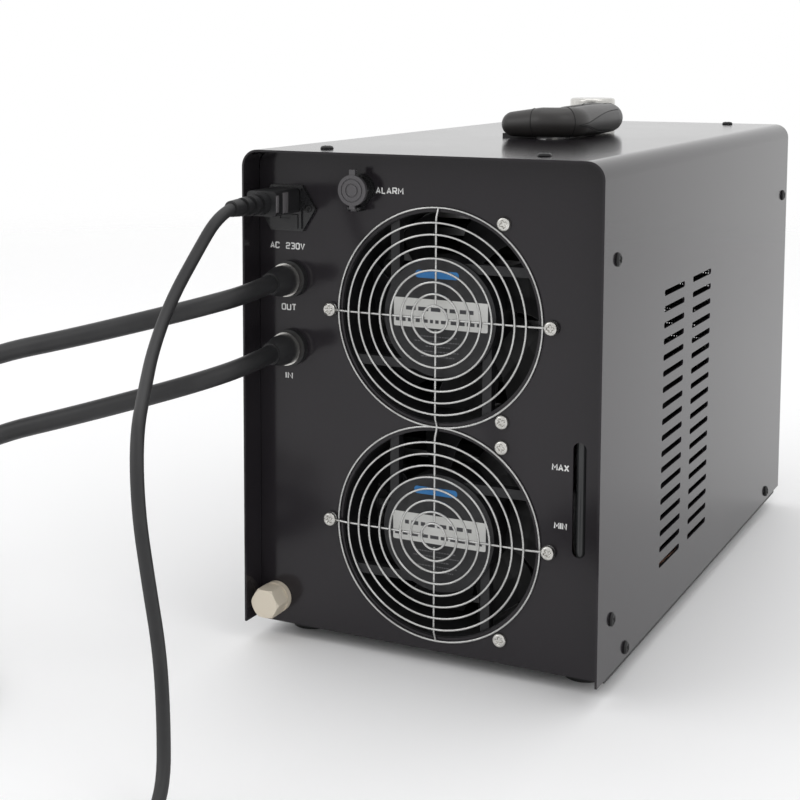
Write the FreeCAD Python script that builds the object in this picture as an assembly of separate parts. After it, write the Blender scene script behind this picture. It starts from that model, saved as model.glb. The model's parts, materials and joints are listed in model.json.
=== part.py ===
"""Bench water chiller in a folded steel case, seen from its connection side.

The case stands on four feet with its length along Y. The side with the two
exhaust fans, the hose ports and the power inlet faces -Y, the control side
faces +Y, and +X is the side that carries vents and looks right from the back.
All lengths are millimetres and the floor is z = 0. Pieces are drawn about the
middle of the case. They are moved along Y when they are saved, so that the
origin is the middle of the whole outline, mains connector included.
"""
import FreeCAD, Part
import math
import os

os.makedirs("parts", exist_ok=True)
V = FreeCAD.Vector

# Case
case_width = 262.0
case_depth = 530.0
foot_height = 10.2
tray_drop = 4.3
sheet = 1.5
bend_radius = 12.0
fit_gap = 0.3
rear_recess = 21.5
front_recess = 10.0
flange_width = 16.0
screw_hole_radius = 2.1

# Side vents
vent_rows = 18
vent_pitch = 11.55
vent_length = 52.0
vent_height = 4.2
vent_top_drop = 101.1
vent_first_inset = 162.5
vent_second_inset = 237.0

# Exhaust fans
fan_x = 8.9
fan_lower_height = 78.0
fan_pitch = 149.3
fan_depth = 51.0
fan_body_radius = 86.0
fan_flat_half = 73.8
fan_duct_radius = 71.5
fan_bolt_radius = 81.0
fan_bolt_angle = 54.6
fan_hub_radius = 41.0
fan_hub_depth = 20.0
fan_shaft_radius = 3.0
fan_strut_offset = 34.0
fan_strut_width = 6.5
fan_strut_depth = 7.0
fan_seat_length = 7.0
fan_blades = 7
fan_tip_gap = 2.0
blade_camber = 1.6
blade_lean = 14.0
fan_rotor_gap = 2.0
fan_rotor_depth = 26.0
panel_fan_hole_radius = 72.0

# Fan guards
guard_outer_radius = 73.4
guard_ring_step = 8.0
guard_rings = 7
guard_inner_radius = 17.0
guard_wire = 2.0
guard_stand = 5.5
guard_eye_radius = 4.4

# Power inlet
inlet_x = -106.0
inlet_port_pitch = 50.2
inlet_top_room = 41.3
inlet_half_height = 16.0
inlet_half_width = 22.8
inlet_core_half_width = 12.5
inlet_screw_spread = 17.5
inlet_flange = 3.0
inlet_core_depth = 26.0
socket_half_width = 11.2
socket_half_height = 7.9
socket_rise = 5.8
drawer_half_width = 10.0
drawer_half_height = 5.4
drawer_drop = 9.2
connector_grip = 32.5
connector_relief = 39.0

# Hose ports
port_x = -104.0
outlet_height = 246.5
port_pitch = 48.8
port_body_radius = 13.0
port_body_length = 5.0
port_thread_radius = 9.0
port_nut_radius = 13.5
port_nut_length = 7.0
ring_radius = 11.8
ring_length = 4.5
hose_radius = 6.5
hose_bore_radius = 4.3
sleeve_length = 21.0

# Alarm socket
alarm_x = -49.0
alarm_height = 312.0
alarm_radius = 8.6
alarm_length = 11.0
alarm_flange_radius = 10.4
alarm_cap_radius = 10.5
alarm_cap_thickness = 3.0
alarm_pin_radius = 0.8

# Level window
window_x = 110.0
window_low = 76.8
window_high = 153.6
window_width = 9.0
sight_radius = 4.0

# Drain
drain_x = -116.3
drain_height = 14.0
drain_flange_radius = 11.3
drain_flange_length = 4.5
drain_cap_flats = 20.0
drain_cap_length = 14.5
drain_neck_radius = 6.0

# Carry handle
handle_hinge_x = -13.0
handle_grip_x = 30.5
handle_y_low = 202.0
handle_y_high = 342.0
handle_arm_width = 22.0
handle_arm_height = 19.5
handle_grip_height = 23.0
handle_clear = 1.2
handle_bend = 20.0
handle_swell = 0.6
handle_step = 0.3
hinge_pin_radius = 3.0
hinge_clear = 0.05
insert_clear = 0.3

# Filler
filler_x = -14.0
filler_inset = 405.0
filler_cap_radius = 19.5
filler_cap_height = 22.0
filler_neck_radius = 15.0
filler_bore_radius = 12.0
filler_flange_radius = 19.5
filler_flange_height = 3.4

# Control side
bezel_width = 196.0
bezel_height = 74.0
bezel_top_drop = 24.0
display_width = 84.0
display_height = 34.0
button_size = 12.0
button_pitch = 20.0
button_travel = 1.2
grille_width = 196.0
grille_low_height = 22.0
bezel_grille_gap = 22.0
key_inset = 30.0
louvre_count = 14
louvre_thickness = 1.5

# Feet and screws
foot_radius = 15.0
foot_inset_x = 26.0
foot_inset_y = 53.0
screw_head_radius = 4.6
screw_head_height = 2.4
screw_shank_radius = 1.9
guard_screw_radius = 5.0
guard_screw_height = 3.0
cover_screw_length = 7.0
guard_screw_length = 14.0
side_screw_drop = 64.0

# Cooling parts
condenser_half_width = 84.0
condenser_height = 300.0
condenser_depth = 38.0
condenser_rows = 14
tank_length = 120.0
tank_height = 250.0
tank_wall = 3.0
compressor_x = 62.0
compressor_y = 60.0
compressor_radius = 52.0
compressor_height = 150.0
mount_height = 12.0
pump_x = -72.0
pump_y = 10.0
pump_axis_rise = 42.0
pump_motor_radius = 27.0
exchanger_x = 78.0
exchanger_y = 165.0
exchanger_half_width = 38.0
exchanger_half_length = 26.0
exchanger_height = 150.0
pipe_radius = 4.8
liquid_line_radius = 3.2
line_gap = 1.6
water_pipe_radius = 6.4

# Cords
mains_radius = 4.0
mains_coil_radius = 44.0
mains_coil_half_width = 12.0
mains_coil_height = 22.0
hose_coil_radius = 72.0
hose_coil_half_width = 14.0
hose_coil_height = 26.0
mains_coil_centre = (29.0, -570.0, 0.0)
outlet_coil_centre = (-430.0, -345.0, 0.0)
return_coil_centre = (-302.0, -478.0, 0.0)
plug_radius = 18.0
mains_plug_place = (94.0, -614.0, plug_radius)
mains_plug_heading = 0.0
fitting_radius = 9.0
fitting_height = hose_coil_height + fitting_radius + 0.3
outlet_fitting_place = (-455.0, -277.0, fitting_height)
outlet_fitting_heading = 10.0
return_fitting_place = (-274.0, -544.0, fitting_height)
return_fitting_heading = 30.0

# Worked out
return_height = outlet_height - port_pitch
inlet_height = outlet_height + inlet_port_pitch
case_height = inlet_height + inlet_top_room
half_w = case_width / 2.0
half_d = case_depth / 2.0
case_low = foot_height + tray_drop
case_top = case_low + case_height
rear_edge = -half_d
rear_out = rear_edge + rear_recess
rear_in = rear_out + sheet
front_edge = half_d
front_out = front_edge - front_recess
front_in = front_out - sheet
inside_half = half_w - sheet
panel_half = inside_half - fit_gap
tray_top = foot_height + sheet
fan_heights = {"upper": fan_lower_height + fan_pitch, "lower": fan_lower_height}
bezel_low = case_top - bezel_top_drop - bezel_height
grille_low = case_low + grille_low_height
grille_height = bezel_low - bezel_grille_gap - grille_low


def box(x0, x1, y0, y1, z0, z1):
    """Block between two corners."""
    return Part.makeBox(x1 - x0, y1 - y0, z1 - z0, V(x0, y0, z0))


def rod_y(x, y0, y1, z, radius):
    """Round bar along Y."""
    return Part.makeCylinder(radius, y1 - y0, V(x, y0, z), V(0, 1, 0))


def rod_z(x, y, z0, z1, radius):
    """Upright round bar."""
    return Part.makeCylinder(radius, z1 - z0, V(x, y, z0), V(0, 0, 1))


def rod_x(x0, x1, y, z, radius):
    """Round bar along X."""
    return Part.makeCylinder(radius, x1 - x0, V(x0, y, z), V(1, 0, 0))


def prism_y(points, y0, y1):
    """Straight-sided outline in XZ, pushed along Y."""
    corners = [V(x, y0, z) for x, z in points]
    wire = Part.makePolygon(corners + corners[:1])
    return Part.Face(wire).extrude(V(0, y1 - y0, 0))


def round_block_y(x, z, half_x, half_z, radius, y0, y1):
    """Block along Y with its four long edges rounded."""
    block = box(x - half_x, x + half_x, y0, y1, z - half_z, z + half_z)
    edges = [e for e in block.Edges if abs(e.tangentAt(e.FirstParameter).y) > 0.99]
    return block.makeFillet(radius, edges)


def slot_x(x0, x1, y, z, length, height):
    """Obround cutter along X, long in Y."""
    radius = height / 2.0
    half = length / 2.0 - radius
    middle = box(x0, x1, y - half, y + half, z - radius, z + radius)
    first = rod_x(x0, x1, y - half, z, radius)
    last = rod_x(x0, x1, y + half, z, radius)
    return middle.fuse([first, last]).removeSplitter()


def slot_y(y0, y1, x, z_low, z_high, width):
    """Obround cutter along Y, tall in Z."""
    radius = width / 2.0
    middle = box(x - radius, x + radius, y0, y1, z_low + radius, z_high - radius)
    low = rod_y(x, y0, y1, z_low + radius, radius)
    high = rod_y(x, y0, y1, z_high - radius, radius)
    return middle.fuse([low, high]).removeSplitter()


def save(name, solids):
    """Write one piece, or a group of like pieces, to its file."""
    shapes = solids if isinstance(solids, list) else [solids]
    parts = []
    for shape in shapes:
        parts += shape.Solids
    whole = parts[0] if len(parts) == 1 else Part.makeCompound(parts)
    whole.translate(V(0, -(mains_exit_y() + front_edge) / 2.0, 0))
    if not whole.isValid():
        print("not valid:", name)
    whole.exportStep("parts/" + name + ".step")
    print(name, len(parts), round(whole.Volume / 1000.0, 2), "cm3")
    return whole


def case_outline(offset, y0, y1, low):
    """Section of the case, its top corners bent, set in by an offset."""
    half = half_w - offset
    top = case_top - offset
    radius = max(bend_radius - offset, 0.5)
    diagonal = radius * math.sqrt(0.5)
    right = V(half - radius + diagonal, y0, top - radius + diagonal)
    left = V(-right.x, y0, right.z)
    edges = [
        Part.LineSegment(V(-half, y0, low), V(half, y0, low)).toShape(),
        Part.LineSegment(V(half, y0, low), V(half, y0, top - radius)).toShape(),
        Part.Arc(V(half, y0, top - radius), right, V(half - radius, y0, top)).toShape(),
        Part.LineSegment(V(half - radius, y0, top), V(radius - half, y0, top)).toShape(),
        Part.Arc(V(radius - half, y0, top), left, V(-half, y0, top - radius)).toShape(),
        Part.LineSegment(V(-half, y0, top - radius), V(-half, y0, low)).toShape(),
    ]
    return Part.Face(Part.Wire(edges)).extrude(V(0, y1 - y0, 0))


def side_screw_places():
    """Y and Z of the screws in one side of the case."""
    rear_y = rear_in + 4.5
    front_y = front_in - 7.0
    return [
        (rear_y, case_top - side_screw_drop),
        (rear_y, case_low + 37.4),
        (rear_edge + 59.0, case_low + 7.5),
        (front_y, case_top - side_screw_drop + 0.8),
        (front_edge - 54.0, case_low + 8.5),
    ]


def top_screw_places():
    """X and Y of the screws in the top of the case."""
    rear_y = rear_in + 7.0
    front_y = front_in - 9.0
    return [(-80.0, rear_y), (80.0, rear_y), (-80.0, front_y), (80.0, front_y)]


def make_cover():
    """Folded top and sides of the case, with vents in the right side and screw holes."""
    outer = case_outline(0.0, rear_edge, front_edge, case_low)
    inner = case_outline(sheet, rear_edge - 1.0, front_edge + 1.0, case_low - 1.0)
    cuts = [inner]
    for side in (-1, 1):
        x0 = side * (half_w - sheet / 2.0) - 2.0 * sheet
        for y, z in side_screw_places():
            cuts.append(rod_x(x0, x0 + 4.0 * sheet, y, z, screw_hole_radius))
    x0 = half_w - 2.5 * sheet
    for row in range(vent_rows):
        z = case_top - vent_top_drop - row * vent_pitch
        for inset in (vent_first_inset, vent_second_inset):
            cuts.append(slot_x(x0, x0 + 4.0 * sheet, rear_edge + inset, z, vent_length, vent_height))
    for x, y in top_screw_places():
        cuts.append(rod_z(x, y, case_top - 2.0 * sheet, case_top + 1.0, screw_hole_radius))
    cuts.append(rod_z(filler_x, rear_edge + filler_inset, case_top - 2.0 * sheet, case_top + 1.0,
                      filler_neck_radius + fit_gap))
    return outer.cut(cuts)


def make_base_tray():
    """Folded floor pan that everything inside stands on."""
    y0 = rear_in + fit_gap
    y1 = front_in - fit_gap
    half = panel_half
    lip = 22.0
    floor_pan = box(-half, half, y0, y1, foot_height, tray_top)
    left = box(-half, -half + sheet, y0, y1, tray_top, tray_top + lip)
    right = box(half - sheet, half, y0, y1, tray_top, tray_top + lip)
    tray = floor_pan.fuse([left, right]).removeSplitter()
    cuts = []
    for side in (-1, 1):
        for y, z in side_screw_places():
            if z < tray_top + lip:
                x0 = side * (half - sheet / 2.0) - sheet
                cuts.append(rod_x(x0, x0 + 2.0 * sheet, y, z, screw_hole_radius))
    return tray.cut(cuts)


def pan(out_y, in_y, inward):
    """Upright panel with folded side and top flanges, open on its inner side."""
    y0 = min(out_y, in_y)
    y1 = max(out_y, in_y)
    plate = case_outline(sheet + fit_gap, y0, y1, foot_height)
    far = in_y + inward * flange_width
    f0 = min(in_y, far)
    f1 = max(in_y, far)
    band_out = case_outline(sheet + fit_gap, f0, f1, tray_top + 26.0)
    band_in = case_outline(2.0 * sheet + fit_gap, f0 - 1.0, f1 + 1.0, tray_top + 20.0)
    return plate.fuse(band_out.cut(band_in)).removeSplitter()


def flange_screw_holes():
    """Cutters for the case screws through the panels' folded flanges."""
    cuts = []
    for side in (-1, 1):
        for y, z in side_screw_places():
            x0 = side * (panel_half - sheet / 2.0) - 2.0 * sheet
            cuts.append(rod_x(x0, x0 + 4.0 * sheet, y, z, screw_hole_radius))
    for x, y in top_screw_places():
        cuts.append(rod_z(x, y, case_top - 4.0 * sheet, case_top, screw_hole_radius))
    return cuts


def fan_bolts(x, z):
    """Centres of one fan's four screws."""
    places = [(x - fan_bolt_radius, z), (x + fan_bolt_radius, z)]
    angle = math.radians(fan_bolt_angle)
    for side in (-1, 1):
        places.append((x + fan_bolt_radius * math.cos(angle), z + side * fan_bolt_radius * math.sin(angle)))
    return places


def make_rear_panel():
    """Panel that carries the fans, the ports, the inlet and the level window."""
    panel = pan(rear_out, rear_in, 1)
    y0 = rear_out - 1.0
    y1 = rear_in + 1.0
    cuts = flange_screw_holes()
    for height in fan_heights.values():
        z = case_low + height
        cuts.append(rod_y(fan_x, y0, y1, z, panel_fan_hole_radius))
        for bx, bz in fan_bolts(fan_x, z):
            cuts.append(rod_y(bx, y0, y1, bz, screw_hole_radius))
    core_half = inlet_core_half_width + fit_gap
    z = case_low + inlet_height
    cuts.append(box(inlet_x - core_half, inlet_x + core_half, y0, y1,
                    z - inlet_half_height + 1.5, z + inlet_half_height - 1.5))
    for side in (-1, 1):
        cuts.append(rod_y(inlet_x + side * inlet_screw_spread, y0, y1, z, 1.7))
    for height in (outlet_height, return_height):
        cuts.append(rod_y(port_x, y0, y1, case_low + height, port_thread_radius + fit_gap))
    cuts.append(rod_y(alarm_x, y0, y1, case_low + alarm_height, alarm_radius - 1.0 + fit_gap))
    cuts.append(rod_y(drain_x, y0, y1, case_low + drain_height, drain_neck_radius + fit_gap))
    cuts.append(slot_y(y0, y1, window_x, case_low + window_low, case_low + window_high, window_width))
    return panel.cut(cuts)


def make_front_panel():
    """Panel of the control side with cut-outs for the bezel and the grille."""
    panel = pan(front_out, front_in, -1)
    y0 = front_in - 1.0
    y1 = front_out + 1.0
    cuts = flange_screw_holes()
    bezel_z = case_top - bezel_top_drop - bezel_height / 2.0
    cuts.append(box(-bezel_width / 2.0 + 8.0, bezel_width / 2.0 - 8.0, y0, y1,
                    bezel_z - bezel_height / 2.0 + 8.0, bezel_z + bezel_height / 2.0 - 8.0))
    low = grille_low + 6.0
    cuts.append(box(-grille_width / 2.0 + 6.0, grille_width / 2.0 - 6.0, y0, y1,
                    low, low + grille_height - 12.0))
    return panel.cut(cuts)


def make_intake_grille():
    """Louvred insert that clips into the front panel."""
    low = grille_low
    y0 = front_out
    y1 = front_edge - 3.0
    frame = box(-grille_width / 2.0, grille_width / 2.0, y0, y1, low, low + grille_height)
    rim = 8.0
    opening = box(-grille_width / 2.0 + rim, grille_width / 2.0 - rim, y0 - 1.0, y1 + 1.0,
                  low + rim, low + grille_height - rim)
    pitch = (grille_height - 2.0 * rim) / louvre_count
    drop = pitch * 0.75
    slats = []
    for row in range(louvre_count):
        z = low + rim + (row + 0.9) * pitch
        half = grille_width / 2.0 - rim + 1.0
        side = [V(-half, y0, z), V(-half, y0, z + louvre_thickness),
                V(-half, y1, z + louvre_thickness - drop), V(-half, y1, z - drop)]
        face = Part.Face(Part.makePolygon(side + side[:1]))
        slats.append(face.extrude(V(2.0 * half, 0, 0)))
    bar = box(-3.0, 3.0, y0, y1 - 2.0, low + rim, low + grille_height - rim)
    return frame.cut(opening).fuse(slats + [bar]).removeSplitter()


def bezel_centre():
    """Height of the control bezel's middle."""
    return case_top - bezel_top_drop - bezel_height / 2.0


def button_places():
    """X and Z of the four keys."""
    z = bezel_centre()
    first = bezel_width / 2.0 - key_inset - button_pitch
    places = {}
    names = ["button_up", "button_down", "button_set", "button_power"]
    for index, name in enumerate(names):
        column = index % 2
        row = index // 2
        places[name] = (first + column * button_pitch, z + button_pitch / 2.0 - row * button_pitch)
    return places


def display_centre_x():
    """X of the display window's middle."""
    return display_width / 2.0 + 26.0 - bezel_width / 2.0


def make_control_bezel():
    """Moulded frame that holds the display window and the keys."""
    z = bezel_centre()
    y0 = front_in - 9.0
    front = front_edge - 4.0
    face = round_block_y(0.0, z, bezel_width / 2.0, bezel_height / 2.0, 8.0, front_out, front)
    body = box(-bezel_width / 2.0 + 8.3, bezel_width / 2.0 - 8.3, y0, front_out,
               z - bezel_height / 2.0 + 8.3, z + bezel_height / 2.0 - 8.3)
    hollow = box(-bezel_width / 2.0 + 11.0, bezel_width / 2.0 - 11.0, y0 - 1.0, front - 3.0,
                 z - bezel_height / 2.0 + 11.0, z + bezel_height / 2.0 - 11.0)
    dx = display_centre_x()
    window = box(dx - display_width / 2.0, dx + display_width / 2.0, front - 4.0, front + 1.0,
                 z - display_height / 2.0, z + display_height / 2.0)
    cuts = [hollow, window]
    for x, bz in button_places().values():
        cuts.append(round_block_y(x, bz, button_size / 2.0 + fit_gap, button_size / 2.0 + fit_gap, 2.0,
                                  front - 4.0, front + 1.0))
    return face.fuse(body).cut(cuts).removeSplitter()


def make_display_window():
    """Clear pane with a step that rests behind the bezel."""
    z = bezel_centre()
    front = front_edge - 4.0
    dx = display_centre_x()
    half_x = display_width / 2.0 - fit_gap
    half_z = display_height / 2.0 - fit_gap
    pane = box(dx - half_x, dx + half_x, front - 3.0, front - 0.6, z - half_z, z + half_z)
    step = box(dx - half_x - 3.0, dx + half_x + 3.0, front - 4.5, front - 3.0, z - half_z - 3.0, z + half_z + 3.0)
    return pane.fuse(step).removeSplitter()


def make_button(x, z):
    """Key cap with a collar behind the bezel and a stem to its switch."""
    front = front_edge - 4.0
    half = button_size / 2.0
    cap = round_block_y(x, z, half, half, 1.8, front - 3.6, front + 1.6)
    collar = box(x - half - 1.2, x + half + 1.2, front - 4.6, front - 3.3, z - half - 1.2, z + half + 1.2)
    stem = rod_y(x, front - 4.6 - 3.0, front - 4.6, z, 2.4)
    return cap.fuse([collar, stem]).removeSplitter()


def control_board_face():
    """Y of the control board's front face, behind the keys' stems at full travel."""
    return front_edge - 4.0 - 4.6 - 3.0 - button_travel - 0.2


def make_control_board():
    """Circuit board with its standoffs, the relay and the connector blocks."""
    z = bezel_centre()
    face = control_board_face()
    half_x = bezel_width / 2.0 - 13.0
    half_z = bezel_height / 2.0 - 13.0
    board = box(-half_x, half_x, face - 1.6, face, z - half_z, z + half_z)
    dx = display_centre_x()
    glass = box(dx - 36.0, dx + 36.0, face, front_edge - 8.8, z - 13.0, z + 13.0)
    relay = box(40.0, 62.0, face - 19.6, face - 1.6, z - 10.0, z + 8.0)
    block = box(-70.0, -30.0, face - 13.6, face - 1.6, z - 14.0, z - 4.0)
    posts = []
    for sx in (-1, 1):
        for sz in (-1, 1):
            x = sx * (half_x - 4.0)
            pz = z + sz * (half_z - 4.0)
            posts.append(rod_y(x, face, front_edge - 7.0, pz, 2.6))
    return board.fuse([glass, relay, block] + posts).removeSplitter()


def make_feet():
    """Four rubber feet under the tray."""
    feet = []
    for sx in (-1, 1):
        for y in (rear_edge + foot_inset_y, front_edge - foot_inset_y):
            x = sx * (half_w - foot_inset_x)
            feet.append(Part.makeCone(foot_radius - 1.5, foot_radius, foot_height, V(x, y, 0), V(0, 0, 1)))
    return feet


def pan_screw(place, direction, head_radius, head_height, shank_radius, length):
    """Pan-head screw whose head sits on a face and points along a direction."""
    crown = head_height * 0.4
    head = Part.makeCylinder(head_radius, head_height - crown, place, direction)
    top = Part.makeCone(head_radius, head_radius - crown, crown,
                        place + direction * (head_height - crown), direction)
    shank = Part.makeCylinder(shank_radius, length, place, direction.negative())
    return head.fuse([top, shank]).removeSplitter()


def make_cover_screws():
    """Screws that hold the cover to the two panels and the tray."""
    screws = []
    for side in (-1, 1):
        for y, z in side_screw_places():
            place = V(side * half_w, y, z)
            screws.append(pan_screw(place, V(side, 0, 0), screw_head_radius, screw_head_height,
                                    screw_shank_radius, cover_screw_length))
    for x, y in top_screw_places():
        screws.append(pan_screw(V(x, y, case_top), V(0, 0, 1), screw_head_radius, screw_head_height,
                                screw_shank_radius, cover_screw_length))
    return screws


def fan_struts(z, x0, x1):
    """Four offset struts of a fan, between two distances from its middle."""
    half = fan_strut_width / 2.0
    struts = []
    for quarter in range(4):
        strut = box(x0, x1, 0.0, fan_strut_depth, fan_strut_offset - half, fan_strut_offset + half)
        strut.rotate(V(0, 0, 0), V(0, 1, 0), 90.0 * quarter)
        strut.translate(V(fan_x, rear_in + 3.0, z))
        struts.append(strut)
    return struts


def fan_frame(z):
    """Cast fan housing: its duct, its ears and the four seats of the struts."""
    y0 = rear_in
    y1 = rear_in + fan_depth
    disc = rod_y(fan_x, y0, y1, z, fan_body_radius)
    band = box(fan_x - fan_body_radius - 1.0, fan_x + fan_body_radius + 1.0, y0, y1,
               z - fan_flat_half, z + fan_flat_half)
    body = disc.common(band).cut(rod_y(fan_x, y0 - 1.0, y1 + 1.0, z, fan_duct_radius))
    reach = math.sqrt(fan_duct_radius ** 2 - fan_strut_offset ** 2) + 2.0
    body = body.fuse(fan_struts(z, reach - fan_seat_length, reach))
    cuts = []
    for bx, bz in fan_bolts(fan_x, z):
        cuts.append(rod_y(bx, y0 - 1.0, y1 + 1.0, bz, screw_hole_radius))
    return body.cut(cuts).removeSplitter()


def fan_hub(z):
    """Fixed motor hub on the four struts that reach the housing's seats."""
    y0 = rear_in
    hub = rod_y(fan_x, y0 + 1.0, y0 + 1.0 + fan_hub_depth, z, fan_hub_radius)
    reach = math.sqrt(fan_duct_radius ** 2 - fan_strut_offset ** 2) + 2.0
    hub = hub.fuse(fan_struts(z, 5.0, reach - fan_seat_length))
    bore = rod_y(fan_x, y0 + 6.0, y0 + 2.0 + fan_hub_depth, z, fan_shaft_radius + hinge_clear)
    return hub.cut(bore).removeSplitter()


def fan_blade(root, tip, y0, y1):
    """One pitched, cambered blade: a loft between flat sections, trimmed at its tip."""
    middle = (y0 + y1) / 2.0
    stations = (-0.5, -0.18, 0.18, 0.5)
    outline = [(t, -0.8) for t in stations] + [(t, 0.8) for t in reversed(stations)]
    sections = []
    for radius, chord, pitch in ((root - 4.0, 34.0, 42.0), ((root + tip) / 2.0, 42.0, 33.0), (tip + 3.0, 50.0, 26.0)):
        along = math.cos(math.radians(pitch))
        rise = math.sin(math.radians(pitch))
        points = []
        for t, side in outline:
            y = middle - chord * t * rise + blade_camber * (1.0 - 4.0 * t * t) + side
            points.append(V(chord * t * along, y, radius))
        section = Part.makePolygon(points + points[:1])
        section.rotate(V(0, 0, 0), V(0, 1, 0), blade_lean * (radius - root) / (tip - root))
        sections.append(section)
    blade = Part.makeLoft(sections, True, True)
    return blade.common(rod_y(0.0, y0, y1, 0.0, tip))


def fan_rotor(z, start_angle):
    """Seven-bladed rotor with its shaft in the motor hub."""
    y0 = rear_in + 1.0 + fan_hub_depth + fan_rotor_gap
    y1 = y0 + fan_rotor_depth
    root = fan_hub_radius - 3.0
    hub = rod_y(0.0, y0, y1, 0.0, root)
    shaft = rod_y(0.0, rear_in + 7.0, y0 + 1.0, 0.0, fan_shaft_radius)
    tip = fan_duct_radius - fan_tip_gap
    blade = fan_blade(root, tip, y0 + 1.0, y1 - 1.0)
    blades = []
    for index in range(fan_blades):
        copy = blade.copy()
        copy.rotate(V(0, 0, 0), V(0, 1, 0), 360.0 * index / fan_blades)
        blades.append(copy)
    rotor = hub.fuse(blades + [shaft])
    rotor.rotate(V(0, 0, 0), V(0, 1, 0), start_angle)
    rotor.translate(V(fan_x, 0, z))
    return rotor.removeSplitter()


def square_ring(x, y, z, radius):
    """Ring of square wire about an axis along Y."""
    half = guard_wire / 2.0
    corners = [V(radius - half, y, 0), V(radius + half, y, 0),
               V(radius + half, y + guard_wire, 0), V(radius - half, y + guard_wire, 0)]
    face = Part.Face(Part.makePolygon(corners + corners[:1]))
    ring = face.revolve(V(0, 0, 0), V(0, 1, 0), 360.0)
    ring.translate(V(x, 0, z))
    return ring


def fan_guard(z):
    """Wire guard: rings on a cross of spokes that step back to the outer ring."""
    front = rear_out - guard_wire - guard_stand
    half = guard_wire / 2.0
    rings = [square_ring(fan_x, rear_out - guard_wire, z, guard_outer_radius)]
    for index in range(guard_rings):
        rings.append(square_ring(fan_x, front, z, guard_inner_radius + index * guard_ring_step))
    rings.append(square_ring(fan_x, front, z, guard_inner_radius - guard_ring_step))
    last = guard_inner_radius + (guard_rings - 1) * guard_ring_step
    spokes = []
    for quarter in range(4):
        end = guard_outer_radius if quarter % 2 else fan_bolt_radius
        side = [V(0, front + half, 0), V(last, front + half, 0), V(last + 5.0, rear_out - guard_wire, 0),
                V(end, rear_out - guard_wire, 0), V(end, rear_out, 0), V(last + 4.0, rear_out, 0),
                V(last - 1.0, front + half + guard_wire, 0), V(0, front + half + guard_wire, 0)]
        spoke = Part.Face(Part.makePolygon(side + side[:1])).extrude(V(0, 0, guard_wire))
        spoke.translate(V(0, 0, -half))
        spoke.rotate(V(0, 0, 0), V(0, 1, 0), 90.0 * quarter)
        spoke.translate(V(fan_x, 0, z))
        spokes.append(spoke)
    guard = rings[0].fuse(rings[1:] + spokes)
    for side in (-1, 1):
        x = fan_x + side * fan_bolt_radius
        guard = guard.fuse(rod_y(x, rear_out - guard_wire, rear_out, z, guard_eye_radius))
        guard = guard.cut(rod_y(x, rear_out - guard_wire - 1.0, rear_out + 1.0, z, screw_hole_radius))
    return guard.removeSplitter()


def make_guard_screws():
    """Pan-head screws through the guards or the panel into the fan ears."""
    screws = []
    for height in fan_heights.values():
        z = case_low + height
        for index, (x, bz) in enumerate(fan_bolts(fan_x, z)):
            y = rear_out - guard_wire if index < 2 else rear_out
            screws.append(pan_screw(V(x, y, bz), V(0, -1, 0), guard_screw_radius, guard_screw_height,
                                    screw_shank_radius, guard_screw_length))
    return screws


def inlet_flange_points(grow):
    """Six-sided flange outline about the inlet's middle."""
    core = inlet_core_half_width + grow
    tall = inlet_half_height + grow
    wide = inlet_half_width + grow
    return [(core, tall), (wide, 0.0), (core, -tall), (-core, -tall), (-wide, 0.0), (-core, tall)]


def make_power_inlet():
    """Flanged mains inlet with its socket, three pins and a bay for the fuse drawer."""
    z = case_low + inlet_height
    outline = [(inlet_x + x, z + h) for x, h in inlet_flange_points(0.0)]
    front = rear_out - inlet_flange
    flange = prism_y(outline, front, rear_out)
    core = box(inlet_x - inlet_core_half_width, inlet_x + inlet_core_half_width, front - 1.5,
               rear_in + inlet_core_depth, z - inlet_half_height + 1.8, z + inlet_half_height - 1.8)
    sz = z + socket_rise
    socket = round_block_y(inlet_x, sz, socket_half_width + fit_gap, socket_half_height + fit_gap, 2.5,
                           front - 2.5, rear_in + 15.0)
    dz = z - drawer_drop
    bay = box(inlet_x - drawer_half_width - fit_gap, inlet_x + drawer_half_width + fit_gap,
              front - 2.5, rear_in + 20.0, dz - drawer_half_height + 0.4, dz + drawer_half_height - 0.2)
    cuts = [socket, bay]
    for side in (-1, 1):
        cuts.append(rod_y(inlet_x + side * inlet_screw_spread, front - 1.0, rear_out + 1.0, z, 1.7))
    body = flange.fuse(core).cut(cuts)
    pins = []
    for x, pz in ((-7.0, -1.5), (0.0, 2.0), (7.0, -1.5)):
        pins.append(box(inlet_x + x - 1.0, inlet_x + x + 1.0, rear_in + 1.0, rear_in + 25.0,
                        sz + pz - 2.0, sz + pz + 2.0))
    return body.fuse(pins).removeSplitter()


def make_fuse_drawer():
    """Small drawer with the fuse carrier, under the socket."""
    z = case_low + inlet_height - drawer_drop
    front = rear_out - inlet_flange - 2.3
    body = box(inlet_x - drawer_half_width, inlet_x + drawer_half_width, front, rear_in + 18.0,
               z - drawer_half_height + 0.7, z + drawer_half_height - 0.5)
    notch = box(inlet_x - 4.0, inlet_x + 4.0, front - 1.0, front + 0.8, z + 2.0, z + drawer_half_height)
    tray = box(inlet_x - drawer_half_width + 1.5, inlet_x + drawer_half_width - 1.5, front + 3.0,
               rear_in + 16.0, z - drawer_half_height + 2.2, z + drawer_half_height)
    return body.cut([notch, tray])


def make_inlet_screws():
    """Two countersunk-size screws in the inlet's flange."""
    z = case_low + inlet_height
    y = rear_out - inlet_flange
    screws = []
    for side in (-1, 1):
        screws.append(pan_screw(V(inlet_x + side * inlet_screw_spread, y, z), V(0, -1, 0), 2.9, 1.2, 1.5, 9.0))
    return screws


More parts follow.
